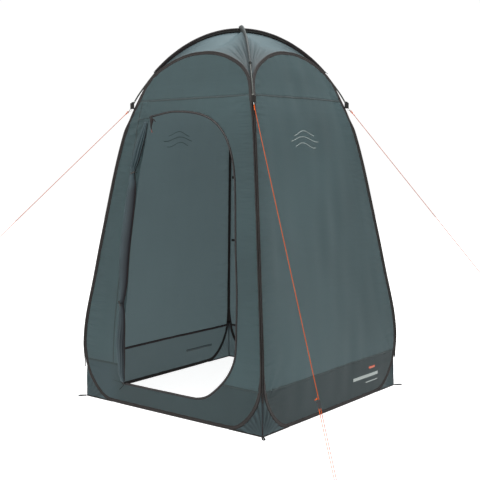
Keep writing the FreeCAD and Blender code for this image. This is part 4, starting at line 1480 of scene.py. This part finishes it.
def build_door_zip_edge(finish):
    """The door's half of the zip, which lies along the roll."""
    low, high, step = 0.130, 1.446, 0.006
    heights = np.linspace(low, high, int((high - low) / step))
    middle, out, half, depth = roll_line(heights)
    turn = np.linspace(-0.42, -0.30, len(heights)) + 0.10 * np.sin(heights * 21)
    across, outward = np.cos(turn), np.sin(turn)
    line = on_front(middle + half * 1.05 * across, out + depth * 1.05 * outward, heights)
    further = on_front(middle + half * 2 * across, out + depth * 2 * outward, heights)
    squeeze = np.clip(half / (20 * MM), 0.45, 1.0)
    sections = resized(strip_section(8 * MM, 1.6 * MM), squeeze, 1.0)
    tape = finish["door_zip_tape"]
    piece = swept("door_zip_edge", line, sections, further - line, tape, "rolled_door")


def build_door_flange(finish):
    """The last of the door's cloth, from the doorway's sewn edge to the roll."""
    rows, columns = 150, 6
    heights = np.linspace(*DOOR_Z, rows)
    middle, out, _, _ = roll_line(heights)
    jamb = np.interp(heights, *JAMB) - jamb_bow(heights) - 2 * MM
    share = np.linspace(0, 1, columns)[None]
    u = jamb[:, None] * (1 - share) + middle[:, None] * share
    lift = 1.1 * MM * (1 - share) + out[:, None] * share
    z = np.repeat(heights[:, None], columns, axis=1)
    points = on_front(u, lift, z).reshape(-1, 3)
    uv = np.stack([u, z], axis=-1).reshape(-1, 2)
    faces = grid_faces(rows, columns)
    piece = add_mesh("rolled_door_flange", points, faces, finish["wall"], "rolled_door", uv)
    thicken(piece)


def build_door(finish):
    """Everything of the rolled door that shows."""
    build_roll(finish)
    build_door_flange(finish)
    build_door_zip_edge(finish)


# ---- zips
def build_zip(finish):
    """The zip round the doorway: its tape, and its coil of teeth."""
    line = door_line(2.5 * MM)
    base = wall_point("front", line, 0.6 * MM)
    section, normals = strip_section(11 * MM, 1.0 * MM), wall_normals("front", line)
    tape = swept("door_zip_tape", base, section, normals, finish["zip_tape"], "tent")
    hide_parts("door_zip")
    fine = evenly(line, 1.25 * MM)
    centre = wall_point("front", fine, 1.9 * MM)
    # every second section is thinner, so that the coil has teeth
    pulse = 1 + 0.16 * np.cos(np.arange(len(fine)) * math.pi)
    sections = round_section(1.9 * MM, 8, 0.75)[None] * pulse[:, None, None]
    normals = wall_normals("front", fine)
    teeth = swept("door_zip_coil", centre, sections, normals, finish["zip_teeth"], "tent")


# the upper pull's webbing, in metres: across, down, width in millimetres
UPPER_PULL = [
    (0.0, 0.0, 5), (0.003, -0.010, 17), (0.005, -0.023, 26), (0.004, -0.036, 17),
    (0.001, -0.054, 9), (0.003, -0.070, 5),
]
# steps from the webbing's end to the tip's, and from its side to the cut tail's
PULL_TIP = [(0.000, 0, 0.001), (0.002, 0, -0.006), (0.005, 0, -0.014)]
PULL_TAIL = [(0, 0, 0), (0.014, -0.001, 0.000), (0.023, -0.001, -0.007), (0.028, 0, -0.014)]
# the lower pull's cord: across, down
LOWER_PULL = [
    (0, -0.002), (0.005, -0.003), (0.007, -0.009), (0.001, -0.015), (-0.008, -0.022),
    (-0.018, -0.031), (-0.024, -0.034),
]


def build_pulls(finish):
    """The pulls that hang from the two sliders."""
    body = "zip_pull_upper"
    low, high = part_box(body)
    x, y, z = (low.x + high.x) / 2 + 3 * MM, low.y - 1 * MM, high.z - 3 * MM
    line = through([(x + across, y, z + down) for across, down, _ in UPPER_PULL], 2 * MM)
    _, down, width = np.transpose(UPPER_PULL)
    widths = np.interp(np.linspace(0, 0.070, len(line)), -down, width) * MM
    out = np.tile((0.0, -1.0, 0.0), (len(line), 1))
    sections = resized(strip_section(1.0, 0.0014), widths, 1.0)
    pull = swept("upper_pull_webbing", line, sections, out, finish["pull"], body)
    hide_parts(body)
    tip = cord_mesh("upper_pull_tip", line[-1] + PULL_TIP, 2.3 * MM, finish["pull_tip"], body)
    tail = cord_mesh("upper_pull_tail", line[8] + PULL_TAIL, 2.6 * MM, finish["pull"], body)
    body = "zip_pull_lower"
    low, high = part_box(body)
    middle = (low + high) / 2
    loop = [(middle.x + across, middle.y, high.z + down) for across, down in LOWER_PULL]
    cord = cord_mesh("lower_pull_cord", loop, 1.3 * MM, finish["black_cord"], body)
    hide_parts(body)


# ---- prints
def print_line(name, side, points, width, outward, material):
    """An inked line on the cloth."""
    tape_along(name, side, points, width, 0.25 * MM, outward, material)


def rolling_line(centre_u, centre_z, half, height, phase):
    """A soft rise and fall across the motif."""
    u = np.linspace(-half, half, 9)
    z = height * np.cos(u / half * math.pi * 0.9 + phase)
    return np.stack([centre_u + u, centre_z + z], axis=1)


# side, middle u and z, how far out, ink, and where
MOTIFS = [
    ("right", -0.045, 1.355, 1.0 * MM, "ink_light", "outside"),
    ("left", 0.020, 1.372, 1.0 * MM, "ink_light", "outside"),
    ("left", 0.020, 1.372, -1.0 * MM, "ink_seen_through", "inside"),
]
# side, first and last u, z, width, ink, how far out, and where
BARS = [
    ("right", 0.315, 0.375, 0.152, 0.012, "ink_orange", 1.0 * MM, "top"),
    ("right", 0.165, 0.405, 0.112, 0.017, "ink_light", 1.0 * MM, "middle"),
    ("right", 0.285, 0.405, 0.078, 0.005, "ink_light", 1.0 * MM, "low"),
    ("left", -0.43, -0.20, 0.105, 0.014, "ink_seen_through", -1.0 * MM, "inside"),
]


def build_prints(finish):
    """Plain decoration: three rolling lines high on two walls, and small blocks low down."""
    for side, u, z, out, ink, where in MOTIFS:
        for i, (rise, half) in enumerate(((0.030, 0.085), (0.0, 0.115), (-0.030, 0.085))):
            points = through(rolling_line(u, z + rise, half, 0.013, 0.4 * i), 4 * MM)
            name = f"motif_{side}_{where}_{i + 1}"
            print_line(name, side, points, 2.4 * MM, out, finish[ink])
    for side, start, stop, z, width, ink, out, where in BARS:
        points = evenly([(start, z), (stop, z)], 8 * MM)
        name = f"bar_{side}_{where}"
        print_line(name, side, points, width, out, finish[ink])


# ---- frame nodes that keep their own shape
def dress(node, material):
    """Give a CAD node a better material."""
    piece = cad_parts[node]
    for slot in piece.material_slots:
        slot.material = material


def dress_frame(finish):
    """The finishes of the parts whose shape is right as it is."""
    finishes = {
        "hoop_wires": "wire", "roof_pole_left_right": "pole", "roof_pole_front_rear": "pole",
        "pole_straps": "webbing", "guy_rings": "ring", "guy_ring_rear_left": "ring",
        "guy_lashings": "black_cord", "inner_ties": "webbing", "door_tie_loops": "black_cord",
        "door_toggle_lower": "toggle", "door_toggle_upper": "toggle",
        "zip_slider_upper": "zip_metal", "zip_slider_lower": "zip_metal",
    }
    for corner in CORNERS:
        finishes[f"pole_socket_{corner}"] = "socket"
    for guy in GUYS:
        finishes[f"guy_runner_{guy}"] = "runner"
    for node, name in finishes.items():
        dress(node, finish[name])


# ---- everything
add_camera()
finish = make_materials()
add_studio()
build_guys(finish)
build_walls(finish)
build_bindings(finish)
build_seams(finish)
build_gussets(finish)
build_peg_loops(finish)
build_roof(finish)
build_pole_sleeves(finish)
build_ferrules(finish)
build_zip(finish)
build_pulls(finish)
build_door(finish)
build_prints(finish)
dress_frame(finish)
